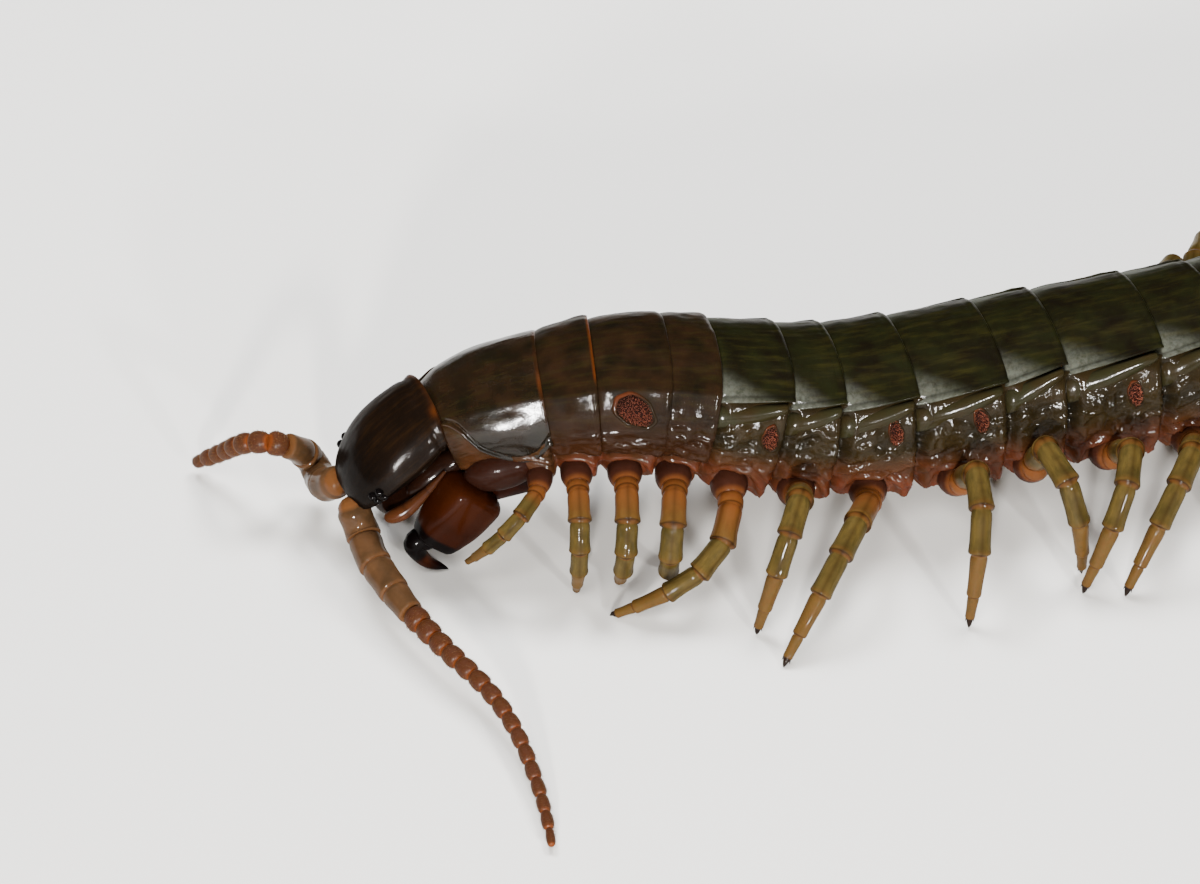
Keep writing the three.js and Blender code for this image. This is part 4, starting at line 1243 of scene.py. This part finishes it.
class CENTIPEDE_OT_spiracles(bpy.types.Operator):
    """Makes the oval breathing holes with their granular floors"""

    bl_idname = "centipede.spiracles"
    bl_label = "Spiracles"

    def execute(self, context):
        sizes = context.scene.centipede_sizes
        pairs = [spiracle_patches(segment, hand) for segment in SPIRACLE_SEGMENTS for hand in SIDES.values()]
        # The raised lip: bare brown chitin, with painted light in orange-brown on its upper side
        lip = cuticle(
            "Chitin spiracle lip", base="#1c140b", deep="#1b130a", warm="#452010", rough=0.4, through=0.0,
        )
        piece("spiracle_lips", join([rim for rim, _ in pairs]), lip, "trunk_cuticle")
        # The sieve inside: rough, red-brown, set with short blunt bristles
        sieve = cuticle(
            "Spiracle sieve", base="#1c0b07", deep="#120705", rough=0.6, coat=0.0, grain=0.12,
            grain_depth=0.04,
        )
        floor = piece("spiracle_floors", join([ground for _, ground in pairs]), sieve, "trunk_cuticle")
        bristle = cuticle("Spiracle bristle", base="#945544", deep="#74402f", rough=0.4, coat=0.12)
        made = grow_bristles("spiracle_bristles", floor.data, bristle, seed=sizes.seed, **BRISTLES)
        dress(made, "trunk_cuticle")
        return {"FINISHED"}


def read(tree, name, kind="FLOAT_VECTOR"):
    """A value that is stored on a mesh."""
    return add(tree, "GeometryNodeInputNamedAttribute", {"Name": name}, data_type=kind).outputs[0]


def store(mesh, name, vectors):
    """Stores a vector on each point of a mesh."""
    mesh.attributes.new(name, "FLOAT_VECTOR", "POINT").data.foreach_set("vector", vectors.ravel())


def grown(name, mesh, material, inputs, instances):
    """A plain object with what a Geometry Nodes tree grows on a mesh.

    Each of the tree's inputs has a kind and a value, and instances adds the nodes that make the instances.
    """
    inputs = {**inputs, "Material": ("Material", material)}
    tree = bpy.data.node_groups.new(f"{name} tree", "GeometryNodeTree")
    face = tree.interface
    face.new_socket("Geometry", in_out="INPUT", socket_type="NodeSocketGeometry")
    sockets = {
        key: face.new_socket(key, in_out="INPUT", socket_type=f"NodeSocket{kind}").identifier
        for key, (kind, _) in inputs.items()
    }
    face.new_socket("Geometry", in_out="OUTPUT", socket_type="NodeSocketGeometry")
    given = add(tree, "NodeGroupInput").outputs
    real = add(tree, "GeometryNodeRealizeInstances", {"Geometry": instances(tree, given)})
    coated = add(tree, "GeometryNodeSetMaterial", {
        "Geometry": real.outputs[0], "Material": given["Material"],
    })
    add(tree, "NodeGroupOutput", {"Geometry": coated.outputs[0]})

    carrier = new_object(f"{name}_carrier", mesh)
    modifier = carrier.modifiers.new("Growth", "NODES")
    modifier.node_group = tree
    for key, (_, value) in inputs.items():
        modifier[sockets[key]] = value
    graph = bpy.context.evaluated_depsgraph_get()
    result = bpy.data.meshes.new_from_object(carrier.evaluated_get(graph), depsgraph=graph)
    result.name = name
    result.materials.clear()
    result.materials.append(material)
    result.shade_smooth()
    made = new_object(name, result)
    bpy.data.objects.remove(carrier)
    return made


def grow_bristles(name, ground, material, density, length, thick, lean, seed):
    """Short bristles on a mesh where its value hairy is set, which lean along its value lie; sizes in mm."""
    def instances(tree, given):
        hairy = add(tree, "ShaderNodeMath", {0: read(tree, "hairy", "FLOAT"), 1: given["Density"]},
                    operation="MULTIPLY")
        scattered = add(tree, "GeometryNodeDistributePointsOnFaces", {
            "Mesh": given["Geometry"], "Density": hairy.outputs[0], "Seed": given["Seed"],
        }, distribute_method="RANDOM")
        cone = add(tree, "GeometryNodeMeshCone", {
            "Vertices": 4, "Side Segments": 2, "Fill Segments": 1, "Radius Top": 0.0,
            "Radius Bottom": given["Thickness"], "Depth": given["Length"],
        }, fill_type="TRIANGLE_FAN")
        leaning = add(tree, "ShaderNodeVectorMath", {
            0: read(tree, "lie"), "Scale": given["Lean"],
        }, operation="SCALE")
        way = add(tree, "ShaderNodeVectorMath", {
            0: scattered.outputs["Normal"], 1: leaning.outputs[0],
        }, operation="ADD")
        aimed = add(tree, "FunctionNodeAlignRotationToVector", {"Vector": way.outputs[0]}, axis="Z")
        size = add(tree, "FunctionNodeRandomValue", {
            "Min": 0.6, "Max": 1.25, "Seed": given["Seed"],
        }, data_type="FLOAT")
        return add(tree, "GeometryNodeInstanceOnPoints", {
            "Points": scattered.outputs["Points"], "Instance": cone.outputs["Mesh"],
            "Rotation": aimed.outputs[0], "Scale": size.outputs[1],
        }).outputs[0]

    return grown(name, ground, material, {
        "Density": ("Float", density / MM**2), "Length": ("Float", length * MM),
        "Thickness": ("Float", thick / 2 * MM), "Lean": ("Float", lean), "Seed": ("Int", seed),
    }, instances)


# Head

# The head stands over the neck by so many mm, and has the mid line's direction at this place ahead of it.
HEAD_BEND_AT = -5.0
HEAD_RISE = 2.1
HEAD_BASE, _, _, NECK_UP = frames_at(0.0)
HEAD_ORIGIN = HEAD_BASE + NECK_UP * HEAD_RISE
_, HEAD_TAIL, HEAD_LEFT, HEAD_UP = frames_at(HEAD_BEND_AT)
# Half of the head's section, as OUTLINE is of the trunk's; then its width, top and underside by mm ahead of
# the neck, and the degrees that its rear edge leans.
HEAD_OUTLINE = np.array([
    (-0.09, -0.12, 0.985), (0, 0, 1), (0.09, 0.12, 0.985), (0.17, 0.22, 0.95), (0.29, 0.37, 0.84),
    (0.4, 0.465, 0.66), (0.49, 0.5, 0.48), (0.58, 0.47, 0.31), (0.7, 0.38, 0.13), (0.82, 0.2, 0.02),
    (1, 0, 0), (1.18, -0.2, 0.02),
])
HEAD_WIDTH = [(0.3, 8.4), (2.5, 9.2), (5, 9.4), (7.4, 8.7), (9.2, 7.2), (10.4, 5.2)]
HEAD_TOP = [(0.3, 3.3), (2.5, 3.6), (5, 3.4), (7.4, 2.6), (9.2, 1.5), (10.4, 0.3)]
HEAD_BOTTOM = [(0.3, -2.2), (3, -2.4), (7.4, -2.3), (9.2, -2.1), (10.4, -1.6)]
HEAD_LEAN = 22
# The raised rear edge with a furrow ahead of it: height, mm ahead of the neck, width.
HEAD_COLLAR = [(0.1, 0.75, 0.25), (-0.09, 1.25, 0.25)]


def in_head(u, v, f):
    """Points by the head: u to the left, v up and f ahead of the neck."""
    u, v, f = (np.asarray(k, float)[..., None] for k in (u, v, f))
    return HEAD_ORIGIN + HEAD_LEFT * u + HEAD_UP * v - HEAD_TAIL * f


def head_patch():
    """The head shield and capsule as one closed body with a rim along the shield's lower border."""
    f = np.concatenate([[0.32, 0.36, 0.42, 0.5, 0.6], np.linspace(0.75, 9.9, 44), [10.05, 10.2, 10.32, 10.4]])
    f, girth = np.meshgrid(f, both_halves(np.linspace(0, 1, 61)), indexing="ij")
    q, hand = np.abs(girth), np.where(girth < 0, -1.0, 1.0)
    width, top, bottom = through(HEAD_WIDTH, f), through(HEAD_TOP, f), through(HEAD_BOTTOM, f)
    border = 0.5 + 0.05 * smooth((f - 6) / 4)
    end = np.clip((f - 9.9) / 0.5, 0, 1)
    size = np.sqrt(np.clip(1 - 0.55 * end**2, 0, 1))
    start = np.clip((0.6 - f) / 0.28, 0, 1)
    size = size * np.sqrt(np.clip(1 - 0.25 * start**2, 0, 1))
    rim = 0.12 * bell(q, border - 0.02, 0.02) - 0.3 * smooth((q - border) / 0.02)
    rim = with_lines(rim, f, HEAD_COLLAR)
    dents = 0.05 * lattice_noise(f * 0.5, girth * 7, 31) + 0.015 * lattice_noise(f * 2, girth * 26, 32)
    sulcus = -0.06 * bell(q, 0, 0.012) * smooth((4.5 - f) / 2)
    lift = rim + dents + sulcus
    u = through(HEAD_OUTLINE[:, [0, 1]], q) * (width + 2 * lift) * size * hand
    high = through(HEAD_OUTLINE[:, [0, 2]], q)
    v = (bottom + (top - bottom) * high + lift * (2 * high - 1)) * (1 - 0.45 * end**2)
    lean = np.tan(np.radians(HEAD_LEAN) * np.clip(1 - f / 5, 0, 1))
    rings = in_head(u, v, f - v * lean)
    warm = 0.25 * bell(f, 0.4, 0.2) + 0.8 * bell(f, 0.6, 0.3) * bell(q, 0.24, 0.04)
    dark = 0.75 * smooth((f - 4.5) / 4) + 0.5 * smooth((q - 0.5) / 0.04)
    return tube(rings, {"warm": warm, "dark": dark, "along": f, "across": girth * 15})


# Radius of a small eye, and the places of the four on each side: mm along the head, and up its side.
OCELLUS = 0.42
OCELLI = [(8.4, 0.5), (7.7, 0.65), (8.3, -0.15), (7.6, -0.05)]


def ocellus_patches(hand):
    """The four domes of one eye cluster."""
    domes = []
    for f, v in OCELLI:
        centre = in_head(hand * (0.5 * at(HEAD_WIDTH, f) - 0.16), v, f)
        out = unit(HEAD_LEFT * hand - HEAD_TAIL * 0.25)
        size = (OCELLUS, OCELLUS * 0.96, OCELLUS * 0.96)
        domes.append(tube(dome_rings(centre, out, HEAD_UP, 20, size, np.linspace(-40, 84, 12))))
    return domes


class CENTIPEDE_OT_head(bpy.types.Operator):
    """Makes the head shield and the eyes"""

    bl_idname = "centipede.head"
    bl_label = "Head"

    def execute(self, context):
        colours = context.scene.centipede_colours
        # The thickest and darkest chitin, nearly black in front
        shield = cuticle(
            "Chitin head shield", base=colours.head, deep="#0d0805", warm="#3a1c09", dark="#070504",
            rough=0.4, coat=0.12, coat_rough=0.08, grain=0.11, fold=0.015, fold_size=0.5, streak=0.25,
            streak_colour="#33200c",
        )
        piece("head_shield", head_patch(), shield, "head_cuticle", "head")
        # Clear lens over black pigment
        lens = cuticle(
            "Ocellus lens", base="#050404", deep="#080606", rough=0.12, coat_rough=0.03, through=0.0,
            grain_depth=0.0,
        )
        for side, hand in SIDES.items():
            piece(f"ocelli_{side}", join(ocellus_patches(hand)), lens, "ocelli", f"eye_{side}")
        return {"FINISHED"}


# Poison claws, the plate that carries them and the mouthparts

# The ends of a poison claw's block by the head, and half its width and height; its size along its length.
BLOCK_REAR = (5.35, -5.2, 1.2)
BLOCK_FRONT = (5.1, -6.9, 7.4)
BLOCK_HALF = (2.15, 2.85)
BLOCK_SIDES = 40
BLOCK_FORM = [
    (-0.06, 0.45), (-0.03, 0.74), (0.03, 0.93), (0.12, 1.02), (0.5, 0.98), (0.8, 0.83), (0.93, 0.74),
    (0.98, 0.67), (1.0, 0.56), (1.005, 0.38),
]
# How square the block's section is: 1 is an oval.
BLOCK_SQUARE = 0.56
# The fang's middle line by the head, and its radius in mm along it.
FANG_PATH = [(5.0, -6.3, 7.2), (5.1, -5.9, 8.5), (5.3, -8.2, 8.9), (5.7, -10.3, 7.95)]
FANG_RADIUS = [(0, 1.2), (0.25, 1.0), (0.4, 0.8), (0.6, 0.62), (0.85, 0.38), (1, 0.06)]


def poison_claw_patches(hand):
    """The stout block and the curved fang of one poison claw."""
    rear, front = (in_head(hand * u, v, f) for u, v, f in (BLOCK_REAR, BLOCK_FRONT))
    axis = unit(front - rear)
    length = float(np.linalg.norm(front - rear))
    u = unit(HEAD_LEFT - axis * HEAD_LEFT.dot(axis))
    v = np.cross(axis, u)
    a = circle(BLOCK_SIDES)
    # A section with flattened faces and rounded edges
    round_u, round_v = (np.sign(k) * np.abs(k) ** BLOCK_SQUARE for k in (np.cos(a), np.sin(a)))
    places = np.concatenate([
        [-0.06, -0.045, -0.03, -0.01], np.linspace(0.02, 0.94, 22), [0.965, 0.985, 1.0, 1.005],
    ])
    rings = []
    for p in places:
        size = at(BLOCK_FORM, p)
        dent = 1 + 0.012 * np.sin(3 * a + p * 5)
        rings.append(rear + axis * length * p + np.outer(BLOCK_HALF[0] * size * round_u * dent, u)
                     + np.outer(BLOCK_HALF[1] * size * round_v * dent, v))
    warm = 0.25 + 0.5 * bell(places, 0.2, 0.25)
    block = tube(rings, {"dark": smooth((places - 0.8) / 0.05)[:, None], "warm": warm[:, None]})
    path = [in_head(hand * left, up, ahead) for left, up, ahead in FANG_PATH]
    fang = horn(path, FANG_RADIUS, HEAD_LEFT, 30, 24, {
        "dark": lambda t: np.clip(smooth((0.5 - t) / 0.08) + smooth((t - 0.6) / 0.3), 0, 1),
        "warm": lambda t: 0.8 * bell(t, 0.58, 0.1),
    })
    return [block, fang]


# The plate that carries them: mm behind the neck, half of its section, and its size along its length.
PLATE_FROM = -1.2
PLATE_TO = 8.2
PLATE_HALF = [(0, 0), (2.4, 0), (4.2, 0.7), (4.9, 2.2), (4.3, 4.0), (0, 4.6)]
PLATE_FORM = [(0, 0.72), (0.03, 0.84), (0.1, 0.96), (0.9, 0.98), (0.97, 0.88), (1, 0.75)]
PLATE_DEPTH = 7
TEETH = 4
LOBE_ANGLES = np.linspace(-85, 85, 20)


def coxosternite_patches():
    """The plate under the first segment, its side lobes and the teeth on its front edge."""
    outline = np.array([*PLATE_HALF, *[(-u, v) for u, v in PLATE_HALF[1:-1][::-1]]])
    closed = np.concatenate([outline, outline[:1]])
    reach = np.linspace(0, len(outline), 60, endpoint=False)
    k = reach.astype(int)
    t = (reach - k)[:, None]
    section = closed[k] * (1 - t) + closed[k + 1] * t
    for _ in range(4):
        section = (np.roll(section, 1, 0) + 2 * section + np.roll(section, -1, 0)) / 4
    shares = spread(30, 0.08)
    rings = []
    for share in shares:
        s = PLATE_FROM + share * (PLATE_TO - PLATE_FROM)
        u, v = section.T * at(PLATE_FORM, share)
        rings.append(place(np.full(len(section), s), u, v - PLATE_DEPTH))
    patches = [tube(rings, {"warm": 0.4 * bell(shares, 0, 0.12)[:, None]})]
    for hand in SIDES.values():
        origin, tail, left, up = frames_at(4.2)
        lobe = dome_rings(origin + left * hand * 4.6 - up * 2.5, tail, up, 28, (-3.4, 1.9, 1.6), LOBE_ANGLES)
        patches.append(tube(lobe, {"pale": 1}))
        for tooth in range(TEETH):
            base = place(PLATE_FROM + 0.3, hand * (0.5 + tooth * 0.62), -5.6 + tooth * 0.08)
            tip = place(PLATE_FROM - 0.55, hand * (0.48 + tooth * 0.6), -5.7)
            patches.append(horn([base, tip], [(0, 0.36), (0.6, 0.3), (1, 0.08)], up, 6, 12, {
                "dark": lambda t: 0.6 + 0 * t,
            }))
    return patches


# A palp's middle line by the head, and its radius in mm along it.
PALP_PATH = [(4.1, -2.3, 2.3), (4.2, -2.8, 4.9), (4.1, -3.05, 7.3), (3.8, -2.9, 8.5), (3.4, -2.8, 9.0)]
PALP_RADIUS = [(0, 0.15), (0.35, 0.4), (0.75, 0.68), (0.93, 0.58), (1, 0.3)]
# The soft plate under the mouth, and a cheek on each side: place, and half length, width and height.
SOFT_PLATES = [
    ((0.0, -3.7, 6.6), (-2.9, 3.9, 1.3)), ((2.7, -3.4, 3.0), (-3.6, 1.3, 1.6)),
    ((-2.7, -3.4, 3.0), (-3.6, 1.3, 1.6)),
]


def mouthpart_patches():
    """Second maxillae with their palps, the soft plate between them and the cheeks."""
    patches = []
    for hand in SIDES.values():
        path = [in_head(hand * u, v, f) for u, v, f in PALP_PATH]
        patches.append(horn(path, PALP_RADIUS, HEAD_UP, 40, 20, {
            "warm": lambda t: 0.3 + 0.7 * smooth(t),
            "dark": lambda t: 0.6 * bell(t, 0.34, 0.015) + 0.6 * bell(t, 0.7, 0.015),
        }))
    for centre, size in SOFT_PLATES:
        rings = dome_rings(in_head(*centre), HEAD_TAIL, HEAD_LEFT, 32, size, np.linspace(-85, 85, 18))
        patches.append(tube(rings, {"dark": 0.75}))
    return patches


class CENTIPEDE_OT_jaws(bpy.types.Operator):
    """Makes the poison claws, the plate that carries them and the mouthparts"""

    bl_idname = "centipede.jaws"
    bl_label = "Jaws"

    def execute(self, context):
        colours = context.scene.centipede_colours
        # Hard red-brown chitin that ends in a black edge and a black fang
        red = cuticle(
            "Chitin poison claw", base=colours.fang, deep="#160602", warm="#2b1105", dark="#050303",
            pale="#20110c", pale_rough=0.02, rough=0.4, coat=0.12, depth=0.6,
        )
        for side, hand in SIDES.items():
            claw = join(poison_claw_patches(hand))
            piece(f"poison_claw_{side}", claw, red, "forcipule_cuticle", f"forcipule_{side}")
        piece("coxosternite", join(coxosternite_patches()), red, "forcipule_cuticle", "forcipular_plate")
        # Softer orange-brown mouth cuticle
        soft = cuticle(
            "Mouthpart cuticle", base="#2a1409", deep="#1e0e06", warm="#3c2010", dark="#110805", rough=0.3,
            coat=0.3, through=0.08, depth=0.5,
        )
        piece("mouthparts", join(mouthpart_patches()), soft, "mouthparts", "maxillae")
        return {"FINISHED"}


# Feelers

# Lengths of the smooth articles at a feeler's base and of a bead, and a feeler's radius along it, mm.
SMOOTH_ARTICLES = [3.0, 3.3, 3.4, 2.8]
BEAD_LENGTH = 1.75
ANTENNA_RADIUS = [
    (0, 1.5), (3, 1.5), (9, 1.35), (12.5, 1.1), (16, 0.95), (26, 0.72), (36, 0.55), (42, 0.4),
]
# Size of a smooth article along it.
SMOOTH_FORM = [(0, 0.86), (0.05, 0.93), (0.15, 1.0), (0.5, 0.98), (0.9, 1.04), (0.96, 1.02), (1, 0.87)]
FEELER_SIDES = 32
BEAD_SIDES = 24
DOWN_THICKNESS = 0.035
DOWN_LEAN = 1.1
# A feeler's root by the head, and the way of each from there, before the whole is moved to the middle.
ANTENNA_ROOT = (1.85, -0.9, 10.7)
LEFT_PATH = [
    (-20.7, -20.2, 4.9), (-19.8, -22.8, 4.3), (-18.1, -25.8, 3.8), (-16.5, -28.4, 3.5), (-12.9, -33.3, 3.1),
    (-9.3, -37.6, 2.6), (-7, -41.8, 2.1), (-5.2, -47, 1.3), (-4.3, -50.9, 0.95), (-3.9, -53.6, 0.75),
]
RIGHT_PATH = [
    (-24.4, -13.6, 4.9), (-25.1, -10.9, 3.6), (-25.9, -9.9, 4.6), (-27.2, -11.6, 7.4), (-29.2, -12.4, 8.7),
    (-31.2, -11.6, 8), (-33.9, -8.8, 4.5), (-36.7, -6.2, 1.1),
]


def feeler_curve(hand):
    """A feeler's middle line, and its length."""
    path = np.array(LEFT_PATH if hand > 0 else RIGHT_PATH) - MIDDLE
    root = in_head(hand * ANTENNA_ROOT[0], ANTENNA_ROOT[1], ANTENNA_ROOT[2])
    curve = dense_curve([root, *path])
    return curve, float(np.linalg.norm(np.diff(curve, axis=0), axis=1).sum())


def feeler_base_patch(hand):
    """The four smooth articles of a feeler."""
    curve, total = feeler_curve(hand)
    reached = 0.0
    up = np.array([0.0, 0.0, 1.0])
    # A ball joint at the head
    size = 0.86 * at(ANTENNA_RADIUS, 0)
    ball = (-size * 0.8, size, size)
    rings = dome_rings(curve[0], unit(curve[1] - curve[0]), up, FEELER_SIDES, ball, [80, 60, 40, 20])
    warm = [0.9] * len(rings)
    for k, length in enumerate(SMOOTH_ARTICLES):
        for t in ARTICLE_PLACES[min(k, 1):]:
            distance = reached + t * length
            share = np.array([distance / total])
            radius = at(ANTENNA_RADIUS, distance) * at(SMOOTH_FORM, t)
            way = ways_along(curve, share, 0.004)[0]
            rings.append(ring_across(along_curve(curve, share)[0], way, up, FEELER_SIDES, radius))
            ends = max(1 - t * length / 0.15 if k else 0.0, 1 - (1 - t) * length / 0.2, 0.0)
            warm.append(0.6 * ends)
        reached += length
    along = np.linspace(0, reached, len(rings))
    return tube(rings, {"warm": np.array(warm)[:, None], "along": along[:, None]})


# Outline of a bead: share of its length and of its radius.
BEAD_FORM = [
    (-0.04, 0.45), (0, 0.62), (0.06, 0.7), (0.13, 0.86), (0.25, 0.97), (0.45, 1.04), (0.7, 1.05),
    (0.85, 0.98), (0.94, 0.84), (1.0, 0.66), (1.04, 0.45),
]


def feeler_beads(side, hand, material):
    """The beads of a feeler: one bead set on each point of a line of points, by Geometry Nodes."""
    curve, total = feeler_curve(hand)
    start = sum(SMOOTH_ARTICLES)
    count = round((total - start) / BEAD_LENGTH)
    pitch = (total - start) / count
    places = start + np.arange(count) * pitch
    points = along_curve(curve, places / total)
    ways = along_curve(curve, np.minimum((places + pitch) / total, 1)) - points
    lengths = np.linalg.norm(ways, axis=1)
    radii = through(ANTENNA_RADIUS, places + pitch / 2)
    # The last bead is slimmer
    radii[-1] *= 0.8
    line = bpy.data.meshes.new("bead line")
    line.from_pydata((points * MM).tolist(), [], [])
    store(line, "way", ways)
    store(line, "stretch", np.stack([radii, radii, lengths], -1))

    form = np.array(BEAD_FORM)
    a = circle(BEAD_SIDES)
    rings = [np.stack([r * np.cos(a), r * np.sin(a), np.full(BEAD_SIDES, z)], -1) for z, r in form]
    neck = np.clip(1 - form[:, :1] / 0.12, 0, 1) + np.clip((form[:, :1] - 0.93) / 0.07, 0, 1)
    bead = make_object("bead", tube(rings, {"warm": neck, "hairy": 1 - np.clip(neck, 0, 1)}), material)

    def instances(tree, given):
        aimed = add(tree, "FunctionNodeAlignRotationToVector", {"Vector": read(tree, "way")}, axis="Z")
        shape = add(tree, "GeometryNodeObjectInfo", {"Object": given["Bead"]})
        return add(tree, "GeometryNodeInstanceOnPoints", {
            "Points": given["Geometry"], "Instance": shape.outputs["Geometry"], "Rotation": aimed.outputs[0],
            "Scale": read(tree, "stretch"),
        }).outputs[0]

    made = grown(f"feeler_beads_{side}", line, material, {"Bead": ("Object", bead)}, instances)
    bpy.data.objects.remove(bead)
    # The down leans to the tip: each point stores the way along the feeler
    co = np.zeros(len(made.data.vertices) * 3)
    made.data.vertices.foreach_get("co", co)
    nearest = np.linalg.norm(co.reshape(-1, 1, 3) / MM - points[None], axis=2).argmin(1)
    store(made.data, "lie", (ways / lengths[:, None])[nearest])
    return made


class CENTIPEDE_OT_feelers(bpy.types.Operator):
    """Makes the two feelers: smooth base, beads and down"""

    bl_idname = "centipede.feelers"
    bl_label = "Feelers"

    def execute(self, context):
        sizes, colours = context.scene.centipede_sizes, context.scene.centipede_colours
        # Bare base articles: smooth, glossy and half clear
        bare = cuticle(
            "Chitin feeler base", base="#46301e", deep="#332416", warm="#53331a", rough=0.4, coat=0.3,
            coat_rough=0.05, grain=0.3, grain_depth=0.01, cloud=1.6,
        )
        # Beads: matt under close down
        beads = cuticle(
            "Chitin feeler bead", base=colours.feeler, deep="#3a2112", warm="#5e2f14", rough=0.42, coat=0.15,
            coat_rough=0.3, grain=0.1, grain_depth=0.012, through=0.12, cloud=1.2,
        )
        down = cuticle(
            "Feeler down", base="#6a4a30", deep="#573a24", rough=0.45, coat=0.0, through=0.1,
            grain_depth=0.0,
        )
        for side, hand in SIDES.items():
            piece(f"feeler_base_{side}", feeler_base_patch(hand), bare, "antenna_cuticle", f"antenna_{side}")
            string = dress(feeler_beads(side, hand, beads), "antenna_cuticle")
            hairs = grow_bristles(
                f"feeler_down_{side}", string.data, down, sizes.hair_density, sizes.hair_length,
                DOWN_THICKNESS, DOWN_LEAN, sizes.seed + hand,
            )
            dress(hairs, "antenna_cuticle")
        return {"FINISHED"}


# Floor, lights and camera

# Degrees and mm; the photo's width in pixels, and the mm that a pixel shows at the target.
CAMERA_ELEVATION = 40.0
CAMERA_DISTANCE = 330.0
CAMERA_TARGET = np.array([0.0, -2.0, 0.0]) - MIDDLE
IMAGE_WIDTH = 1200
PIXEL_MM = 0.092
SENSOR = 36.0
FLOOR_REACH = 3.0
WORLD_STRENGTH = 0.05
# Soft lamps: name, turn from the camera's side to the tail and height in degrees, distance and size in mm,
# watts, colour, and whether it shows in matt and in glossy light. Polarised filters part the two.
LIGHTS = [
    ("key", -10, 15, 430, (34, 32), 3.2, (1.0, 0.97, 0.93), True, True),
    ("key shine", -10, 15, 430, (26, 24), 6.0, (1.0, 0.98, 0.97), False, True),
    ("second", 24, 17, 430, (24, 22), 1.6, (1.0, 0.98, 0.95), True, True),
    ("second shine", 24, 17, 430, (18, 16), 2.6, (1.0, 0.99, 0.98), False, True),
    ("front fill", -20, 52, 460, (190, 190), 1.5, (1.0, 0.98, 0.95), True, False),
    ("left back", -140, 60, 460, (190, 190), 2.8, (0.95, 0.97, 1.0), True, False),
    ("right back", 150, 66, 460, (190, 190), 2.6, (1.0, 1.0, 1.0), True, False),
]
LIGHT_AIM = (-20, -6, 4)


def area_light(name, turn, height, distance, size_mm, watts, colour, matt, glossy):
    """A soft oval lamp that points at the animal."""
    a, b = math.radians(turn), math.radians(height)
    aim_mm = Vector(LIGHT_AIM)
    way = Vector((math.sin(a) * math.cos(b), -math.cos(a) * math.cos(b), math.sin(b)))
    place_mm = aim_mm + way * distance
    lamp = bpy.data.lights.new(name, "AREA")
    lamp.shape = "ELLIPSE"
    lamp.size, lamp.size_y = size_mm[0] * MM, size_mm[1] * MM
    lamp.energy = watts
    lamp.color = colour
    made = new_object(name, lamp)
    made.visible_diffuse, made.visible_glossy = matt, glossy
    made.location = place_mm * MM
    made.rotation_euler = (aim_mm - place_mm).to_track_quat("-Z", "Y").to_euler()
    return made


class CENTIPEDE_OT_stage(bpy.types.Operator):
    """Makes the pale floor, the soft lights and the camera"""

    bl_idname = "centipede.stage"
    bl_label = "Stage"

    def execute(self, context):
        material = bpy.data.materials.new("Floor paper")
        material.use_nodes = True
        shader = material.node_tree.nodes["Principled BSDF"]
        shader.inputs["Base Color"].default_value = (*linear("#e9e7e3"), 1)
        shader.inputs["Roughness"].default_value = 0.9
        shader.inputs["Specular IOR Level"].default_value = 0.2
        mesh = bpy.data.meshes.new("floor")
        corners = [(x * FLOOR_REACH, y * FLOOR_REACH, 0) for x, y in ((-1, -1), (1, -1), (1, 1), (-1, 1))]
        mesh.from_pydata(corners, [], [(0, 1, 2, 3)])
        mesh.materials.append(material)
        new_object("floor", mesh)

        world = bpy.data.worlds.new("Studio")
        world.use_nodes = True
        background = world.node_tree.nodes["Background"]
        background.inputs["Color"].default_value = (*linear("#c9ccd0"), 1)
        background.inputs["Strength"].default_value = WORLD_STRENGTH
        context.scene.world = world
        for light in LIGHTS:
            area_light(*light)

        camera = bpy.data.cameras.new("camera")
        camera.sensor_width = SENSOR
        camera.lens = CAMERA_DISTANCE / PIXEL_MM / IMAGE_WIDTH * SENSOR
        camera.clip_start, camera.clip_end = 0.01, 10
        made = new_object("camera", camera)
        tilt = math.radians(CAMERA_ELEVATION)
        back = Vector((0, -math.cos(tilt), math.sin(tilt)))
        made.location = Vector(CAMERA_TARGET) * MM + back * CAMERA_DISTANCE * MM
        made.rotation_euler = (-back).to_track_quat("-Z", "Y").to_euler()
        context.scene.camera = made
        return {"FINISHED"}


# Order in which the pieces are made
STEPS = (
    "stage", "trunk_skin", "back_plates", "side_bands", "belly_plates", "legs", "spiracles", "head", "jaws",
    "feelers",
)


class CENTIPEDE_PT_panel(bpy.types.Panel):
    """Lists the pieces, sizes and colours"""

    bl_label = "Giant centipede"
    bl_idname = "CENTIPEDE_PT_panel"
    bl_space_type = "VIEW_3D"
    bl_region_type = "UI"
    bl_category = "Centipede"

    def draw(self, context):
        for step in STEPS:
            self.layout.operator(f"centipede.{step}")
        for group in (context.scene.centipede_sizes, context.scene.centipede_colours):
            for key in group.__annotations__:
                self.layout.prop(group, key)


CLASSES = (
    CentipedeColours, CentipedeSizes, CENTIPEDE_OT_stage, CENTIPEDE_OT_trunk_skin, CENTIPEDE_OT_back_plates,
    CENTIPEDE_OT_side_bands, CENTIPEDE_OT_belly_plates, CENTIPEDE_OT_legs, CENTIPEDE_OT_spiracles,
    CENTIPEDE_OT_head, CENTIPEDE_OT_jaws, CENTIPEDE_OT_feelers, CENTIPEDE_PT_panel,
)


def register():
    for cls in CLASSES:
        bpy.utils.register_class(cls)
    bpy.types.Scene.centipede_colours = PointerProperty(type=CentipedeColours)
    bpy.types.Scene.centipede_sizes = PointerProperty(type=CentipedeSizes)


def unregister():
    del bpy.types.Scene.centipede_sizes
    del bpy.types.Scene.centipede_colours
    for cls in reversed(CLASSES):
        bpy.utils.unregister_class(cls)


def main():
    """Makes every piece."""
    register()
    for step in STEPS:
        getattr(bpy.ops.centipede, step)()


if __name__ == "__main__":
    main()
